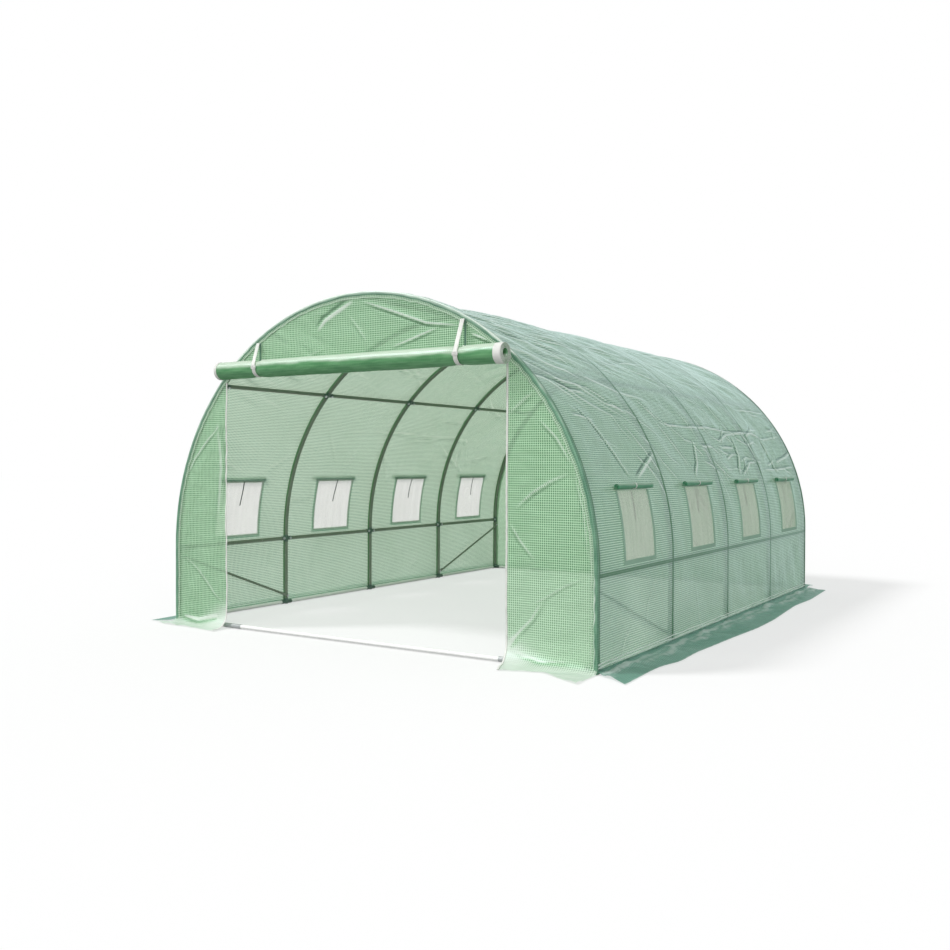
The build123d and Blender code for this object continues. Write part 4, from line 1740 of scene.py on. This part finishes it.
    def binding(self, name: str, line: np.ndarray, finishes: Finishes) -> None:
        """Bind the doorway edge of a panel with white tape that follows it onto the ground.

        Args:
            name: the tape's name.
            line: points of the edge, from the top down.
            finishes: the object's materials.
        """
        sign = 1.0 if line[0, 0] > 0 else -1.0
        steps = distances_along(line)
        forward = np.gradient(line, axis=0)
        forward /= np.linalg.norm(forward, axis=1)[:, None]
        sideways = np.array([sign, 0.0, 0.0])
        face = np.cross(forward, sideways)
        face *= np.where(face[:, 1:2] + 0.001 * face[:, 2:3] > 0, -1.0, 1.0)
        face = np.where(np.abs(forward[:, 2:3]) < 0.3, np.array([0.0, 0.0, 1.0]), face)
        across = np.array([-0.0015, 0.004, 0.010])
        points = line[:, None, :] + across[None, :, None] * sideways + 0.0012 * face[:, None, :]
        points[..., 2] = np.maximum(points[..., 2], 0.002)
        cloth = cloth_grid(steps, across)
        tape = make_sheet(name, points, cloth)
        thicken(tape, 0.0014)
        hang_on(tape, finishes.white_tape, ("door_binding",))


@dataclass
class Windows:
    """Nets, rolled flaps and ties of the eight windows."""

    plan: Plan
    lap: float = 0.013
    flap_length: float = 0.468
    core: float = 0.003
    turns: float = 3.25
    pinch: float = 0.16
    film: float = 0.0026
    tie_width: float = 0.008
    tie_cut: float = 0.01
    tail_length: float = 0.17

    def net(self, side: Side, number: int, centre: float, finishes: Finishes) -> None:
        """Make one window's net behind the film.

        Args:
            side: left or right.
            number: the window's number from the front.
            centre: Y of its middle.
            finishes: the object's materials.
        """
        plan, arch = self.plan, self.plan.arch
        s = np.linspace(plan.window_sill - self.lap, plan.window_top + self.lap, 22)
        y = np.linspace(centre - plan.window_half - self.lap, centre + plan.window_half + self.lap, 22)
        up, along = np.meshgrid(s, y, indexing="ij")
        inner = np.minimum(np.minimum(up - s[0], s[-1] - up), np.minimum(along - y[0], y[-1] - along))
        slack = np.clip((inner - 0.02) / 0.05, 0, 1)
        lift = -0.0042 - slack * (0.003 + 0.0025 * np.sin(2 * math.pi * (along - centre) / 0.075 + number))
        x, z = arch.place(up, lift)
        points = np.stack((side.value * x, along, z), axis=-1)
        name = f"window_net_{side.label}_{number}"
        net = make_sheet(name, points, np.stack((along, up), axis=-1), flip=side is Side.LEFT)
        hang_on(net, finishes.net, (f"window_mesh_{side.label}",))

    def flap(self, side: Side, number: int, centre: float, finishes: Finishes) -> Roll:
        """Make one window's rolled flap.

        Args:
            side: left or right.
            number: the window's number from the front.
            centre: Y of its middle.
            finishes: the object's materials.

        Returns:
            The roll.
        """
        low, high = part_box(f"window_roll_{side.label}")
        size = (high.x - low.x) / 2
        middle = Vector(((low.x + high.x) / 2, centre, (low.z + high.z) / 2))
        turn = math.atan2(middle.z - self.plan.arch.leg, abs(middle.x))
        wall = Vector((-side.value * math.cos(turn), 0, -math.sin(turn)))
        down = Vector((side.value * math.sin(turn), 0, -math.cos(turn)))
        roll = Roll(
            f"window_flap_{side.label}_{number}", middle, Vector((0, 1, 0)), wall, down,
            self.flap_length, size, self.core, self.turns, (0.0,), self.pinch, 111 + number, self.film,
        )
        roll.build(finishes.flap_film, "flap_film", (f"window_roll_{side.label}",), flip=side is Side.RIGHT)
        return roll

    def tie(self, side: Side, number: int, roll: Roll, finishes: Finishes) -> None:
        """Make the tie round a rolled flap and its end that hangs inside the net.

        Args:
            side: left or right.
            number: the window's number from the front.
            roll: the rolled flap.
            finishes: the object's materials.
        """
        radius = roll.outer * (1 - self.pinch) + 0.0012
        angle = np.linspace(0, 2 * math.pi, 28)
        wall, down = np.array(roll.wall), np.array(roll.down)
        ring = np.array(roll.centre) + radius * (np.cos(angle)[:, None] * wall + np.sin(angle)[:, None] * down)
        across = np.linspace(-self.tie_width / 2, self.tie_width / 2, 3)
        points = ring[:, None, :] + across[None, :, None] * np.array((0.0, 1.0, 0.0))
        cloth = cloth_grid(radius * angle, across)
        loop = make_sheet(f"window_tie_{side.label}_{number}", points, cloth)
        thicken(loop, 0.0014)
        hang_on(loop, finishes.white_tape, ("window_ties",))

        start = self.plan.window_top + 0.01
        s = np.linspace(start, start - self.tail_length, 14)
        sway = 0.010 * np.sin(np.linspace(0, 2.2, 14) + number)
        x, z = self.plan.arch.place(s, -0.0125)
        hanging = np.stack((side.value * x, roll.centre.y + sway, z), axis=-1)
        points = hanging[:, None, :] + across[None, :, None] * np.array((0.0, 1.0, 0.0))
        cloth = cloth_grid(s[0] - s, across)
        tail = make_sheet(f"window_tail_{side.label}_{number}", points, cloth)
        thicken(tail, 0.0012)
        hang_on(tail, finishes.dark_tape)

    def build(self, finishes: Finishes) -> None:
        """Make all eight windows.

        Args:
            finishes: the object's materials.
        """
        for side in Side:
            for number, centre in enumerate(self.plan.window_centres, 1):
                self.net(side, number, centre, finishes)
                self.tie(side, number, self.flap(side, number, centre, finishes), finishes)


@dataclass
class ArchHem:
    """The rounded edge of the cover, wrapped round an end hoop, and the stitched welt inside it."""

    plan: Plan
    end: End
    over: float = 0.016
    down: float = 0.0215
    proud: float = 0.0055
    welt: float = 0.017
    steps: int = 300
    stitch_pitch: float = 0.013
    stitch_length: float = 0.007

    def edge(self, lift: np.ndarray | float, out: float, s: np.ndarray) -> np.ndarray:
        """Find points along the arch.

        Args:
            lift: height over the outline.
            out: distance out from the end.
            s: distances over the arch.

        Returns:
            The points.
        """
        x, z = self.plan.arch.place(s, lift)
        y = np.full_like(s, self.end.value * (self.plan.half_length + out))
        return np.stack((x, y, z), axis=-1)

    def strip(self, name: str, profile: list[Point], mark: np.ndarray | float) -> bpy.types.Object:
        """Sweep an open outline round the whole arch.

        Args:
            name: the piece's name.
            profile: height over the outline and distance out from the end, of each point.
            mark: crease mark of the strip, or of each of its points; on the bead it is a painted highlight on the top.

        Returns:
            The strip.
        """
        s = np.linspace(0.0, self.plan.arch.girth, self.steps)
        pucker = 1 + 0.10 * wobble(s, 131, 10, 0.05, 0.4)
        points = np.stack([self.edge(lift * pucker, out, s) for lift, out in profile], axis=1)
        width = distances_along(np.array(profile))
        cloth = cloth_grid(s, width)
        marks = np.broadcast_to(mark, cloth.shape[:2])
        made = make_sheet(name, points, cloth, marks, flip=self.end is End.FRONT)
        return made

    def build(self, finishes: Finishes) -> None:
        """Make the bead, with a painted highlight on its top, the welt and its stitches.

        Args:
            finishes: the object's materials.
        """
        turn = np.linspace(math.pi / 2, -math.pi / 2, 9)
        middle, half = (0.0016 - self.down) / 2, (0.0016 + self.down) / 2
        bead = [(0.0010, -self.over), (0.0016, -0.006)]
        bead += [(middle + half * math.sin(a), -0.0004 + self.proud * math.cos(a)) for a in turn]
        end = self.end.label
        s = np.linspace(0.0, self.plan.arch.girth, self.steps)
        # Painted highlight on the top of the bead, rising in from 0.85 m high on the left and 1.70 m on the right.
        place, height = self.plan.arch.place(s, 0.0)
        lowest, rise = np.where(place < 0, 0.85, 1.70), np.where(place < 0, 0.55, 0.16)
        painted_top_light = np.clip((height - lowest) / rise, 0, 1) * (0.8 + 0.2 * wobble(s, 137, 8, 0.1, 1.0))
        pale = painted_top_light[:, None] * np.array([1.0, 1.0, 1.0, 1.0, 1.0, 0.9, 0.55, 0.15, 0.0, 0.0, 0.0])
        hang_on(self.strip(f"{end}_hem", bead, pale), finishes.hem_film)
        welt = [(-self.down + 0.001, 0.0012), (-self.down - 0.002, 0.0022), (-self.down - self.welt, 0.0018)]
        hang_on(self.strip(f"{end}_welt", welt, 0.35), finishes.end_film)
        self.stitches(finishes)

    def stitches(self, finishes: Finishes) -> None:
        """Sew a row of short pale stitches along the inner edge of the welt.

        Args:
            finishes: the object's materials.
        """
        count = int(self.plan.arch.girth / self.stitch_pitch)
        start = (np.arange(count) + 0.5) * self.stitch_pitch
        middle, half_high = -self.down - self.welt + 0.004, 0.0007
        corners = [
            self.edge(lift, out, start + along)
            for along in (0.0, self.stitch_length)
            for lift in (middle - half_high, middle + half_high)
            for out in (0.0016, 0.0030)
        ]
        points = np.stack(corners, axis=1).reshape(-1, 3)
        box = ((0, 1, 3, 2), (4, 6, 7, 5), (0, 4, 5, 1), (2, 3, 7, 6), (0, 2, 6, 4), (1, 5, 7, 3))
        faces = [tuple(8 * number + corner for corner in face) for number in range(count) for face in box]
        mesh = bpy.data.meshes.new(f"{self.end.label}_stitches")
        mesh.from_pydata(points.tolist(), [], faces)
        mesh.update()
        row = bpy.data.objects.new(mesh.name, mesh)
        bpy.context.scene.collection.objects.link(row)
        hang_on(row, finishes.white_tape)


@dataclass
class FootSeam:
    """A pale welded seam along the foot of one long side, puckered where the flap starts."""

    plan: Plan
    side: Side
    height: float
    width: float = 0.008
    cut_width: float = 0.0105
    seed: int = 141

    def build(self, finishes: Finishes) -> None:
        """Make the seam as a narrow tape on the cover.

        Args:
            finishes: the object's materials.
        """
        length = self.plan.half_length - 0.004
        y = np.linspace(-length, length, 400)
        sway = 0.0020 * wobble(y, self.seed, 8, 0.18, 1.2)
        proud = 0.0014 + 0.0022 * np.abs(wobble(y, self.seed + 1, 8, 0.05, 0.3))
        rows = []
        for share, out in ((0.0, 0.3), (0.3, 1.0), (0.7, 1.0), (1.0, 0.3)):
            x = self.side.value * (self.plan.arch.radius + 0.0008 + proud * out)
            rows.append(np.stack((x, y, self.height + sway + self.width * share), axis=-1))
        points = np.stack(rows, axis=0)
        cloth = cloth_grid(np.linspace(0, self.width, 4), y)
        name = f"foot_seam_{self.side.label}_{round(1000 * self.height)}"
        seam = make_sheet(name, points, cloth, flip=self.side is Side.LEFT)
        hang_on(seam, finishes.seam_tape)


@dataclass
class FrameBolts:
    """Hexagon bolts of the rail sockets and braces, modelled once and copied."""

    plan: Plan
    head_radius: float = 0.0072
    head_height: float = 0.0048
    washer_radius: float = 0.0098
    washer_height: float = 0.0016
    inset: float = 0.033
    socket_radius: float = 1.4676
    brace_flat: float = 0.004
    brace_top: float = 0.425
    brace_foot: float = 0.060

    def pattern(self) -> bpy.types.Object:
        """Model one bolt head on its washer, pointing along +Z from the origin.

        Returns:
            The bolt.
        """
        deselect_all()
        bpy.ops.mesh.primitive_cylinder_add(
            vertices=20, radius=self.washer_radius, depth=self.washer_height, location=(0, 0, self.washer_height / 2)
        )
        washer = bpy.context.active_object
        bpy.ops.object.mode_set(mode="EDIT")
        bpy.ops.mesh.select_all(action="SELECT")
        bpy.ops.mesh.bevel(offset=0.0004, segments=1)
        bpy.ops.object.mode_set(mode="OBJECT")
        deselect_all()
        bpy.ops.mesh.primitive_cylinder_add(
            vertices=6, radius=self.head_radius, depth=self.head_height,
            location=(0, 0, self.washer_height + self.head_height / 2),
        )
        head = bpy.context.active_object
        for face in head.data.polygons:
            face.select = face.normal.z > 0.9
        bpy.ops.object.mode_set(mode="EDIT")
        bpy.ops.mesh.select_mode(type="FACE")
        bpy.ops.mesh.inset(thickness=0.0011, depth=0.0007)
        bpy.ops.mesh.inset(thickness=0.0022, depth=-0.0007)
        bpy.ops.object.mode_set(mode="OBJECT")
        washer.select_set(True)
        bpy.context.view_layer.objects.active = head
        bpy.ops.object.join()
        bpy.ops.object.transform_apply(location=True, rotation=True, scale=True)
        return bpy.context.active_object

    def places(self) -> list[tuple[Vector, Vector]]:
        """List where each bolt sits and which way it points.

        Returns:
            Place and direction: one on each rail socket, inside, and one at each end of each brace.
        """
        made = []
        reach = self.plan.half_length - 0.01
        for hoop in self.plan.hoops:
            for y in (hoop - self.inset, hoop + self.inset):
                if abs(y) > reach:
                    continue
                for rail in self.plan.rails():
                    turn = float(self.plan.arch.angle(np.array(rail)))
                    x, z = self.plan.arch.place(np.array(rail), self.socket_radius - self.plan.arch.radius)
                    made.append((Vector((float(x), y, float(z))), Vector((-math.cos(turn), 0, -math.sin(turn)))))
        inner_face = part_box("corner_braces")[1].x - self.brace_flat
        hoops = self.plan.hoops
        ends = [(hoop, self.brace_top) for hoop in hoops[::4]] + [(hoop, self.brace_foot) for hoop in hoops[1::2]]
        for side in Side:
            for y, z in ends:
                made.append((Vector((side.value * inner_face, y, z)), Vector((-side.value, 0, 0))))
        return made

    def build(self, finishes: Finishes) -> None:
        """Copy the bolt to every place and join the copies.

        Args:
            finishes: the object's materials.
        """
        pattern = self.pattern()
        copies = []
        for place, toward in self.places():
            copy = pattern.copy()
            copy.data = pattern.data.copy()
            spin = toward.to_track_quat("Z", "Y").to_matrix().to_4x4()
            spin.translation = place
            copy.data.transform(spin)
            bpy.context.scene.collection.objects.link(copy)
            copies.append(copy)
        bpy.data.objects.remove(pattern)
        deselect_all()
        for copy in copies:
            copy.select_set(True)
        bpy.context.view_layer.objects.active = copies[0]
        bpy.ops.object.join()
        bolts = bpy.context.active_object
        bolts.name = "frame_bolts"
        hang_on(bolts, finishes.bolt)
        deselect_all()


def dress_frame(finishes: Finishes) -> None:
    """Give each tube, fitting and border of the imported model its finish.

    Args:
        finishes: the object's materials.
    """
    finish_of = {
        **dict.fromkeys(("hoop", "ridge", "haunch", "side", "corner"), finishes.green_tube),
        "base_rail": finishes.white_tube,
        "base_joints": finishes.grey_fitting,
        "base_shoes": finishes.fitting,
        "rail_fittings": finishes.fitting,
        "window_borders": finishes.border_tape,
    }
    for name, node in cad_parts.items():
        for start, material in finish_of.items():
            if name.startswith(start):
                node.data.materials.clear()
                node.data.materials.append(material)
                log.info("%s dressed", name)


def main() -> None:
    """Build the studio, dress the frame and make every sheet in order."""
    logging.basicConfig(level=logging.INFO, format="%(message)s")
    Studio().build()
    plan = Plan()
    finishes = Finishes(plan.rests())
    dress_frame(finishes)
    cover = Cover(plan)
    for side in Side:
        cover.build(side, finishes)
    front = EndWall(plan, End.FRONT)
    door = Door(plan)
    right_flap = [(1.03, 0.175), (1.14, 0.13), (1.24, 0.10), (1.39, 0.18), (1.505, 0.25)]
    left_flap = [(-1.015, 0.14), (-1.20, 0.11), (-1.34, 0.11), (-1.48, 0.11), (-1.62, 0.07)]
    right = front.panel(Side.RIGHT, right_flap, (0.12, 0.03), finishes)
    left = front.panel(Side.LEFT, left_flap, (0.10, 0.03), finishes)
    front.gable(finishes)
    door.binding("door_binding_right", front.doorway_edges[Side.RIGHT], finishes)
    door.binding("door_binding_left", front.doorway_edges[Side.LEFT], finishes)
    door.build(finishes)
    back = EndWall(plan, End.BACK, 0.010, 168)
    for side in Side:
        back.panel(side, [(side.value * x, 0.03) for x in (1.04, 1.3, 1.5)], (0.01, 0.01), finishes)
    back.gable(finishes)
    back.closed_door(finishes)
    right_edge = [
        (1.700, -2.0), (1.684, -1.80), (1.684, -1.62), (1.722, -1.47), (1.706, -1.17), (1.716, -0.97), (1.728, -0.62),
        (1.752, -0.19), (1.745, 0.21), (1.715, 0.60), (1.690, 0.96), (1.705, 1.36), (1.685, 1.70), (1.668, 2.0),
    ]
    left_edge = [
        (1.68, -2.0), (1.70, -1.7), (1.66, -1.2), (1.70, -0.7), (1.67, -0.2), (1.71, 0.4), (1.66, 0.9), (1.70, 1.5),
        (1.68, 2.0),
    ]
    SideFlap(plan, Side.RIGHT, right_edge).build(finishes)
    SideFlap(plan, Side.LEFT, left_edge, 0.05).build(finishes)
    for side in Side:
        for number, height in enumerate((0.027, 0.044)):
            FootSeam(plan, side, height, seed=141 + 2 * number).build(finishes)
    BackFlap(plan).build(finishes)
    Windows(plan).build(finishes)
    for end in End:
        ArchHem(plan, end).build(finishes)
    FrameBolts(plan).build(finishes)


if __name__ == "__main__":
    main()
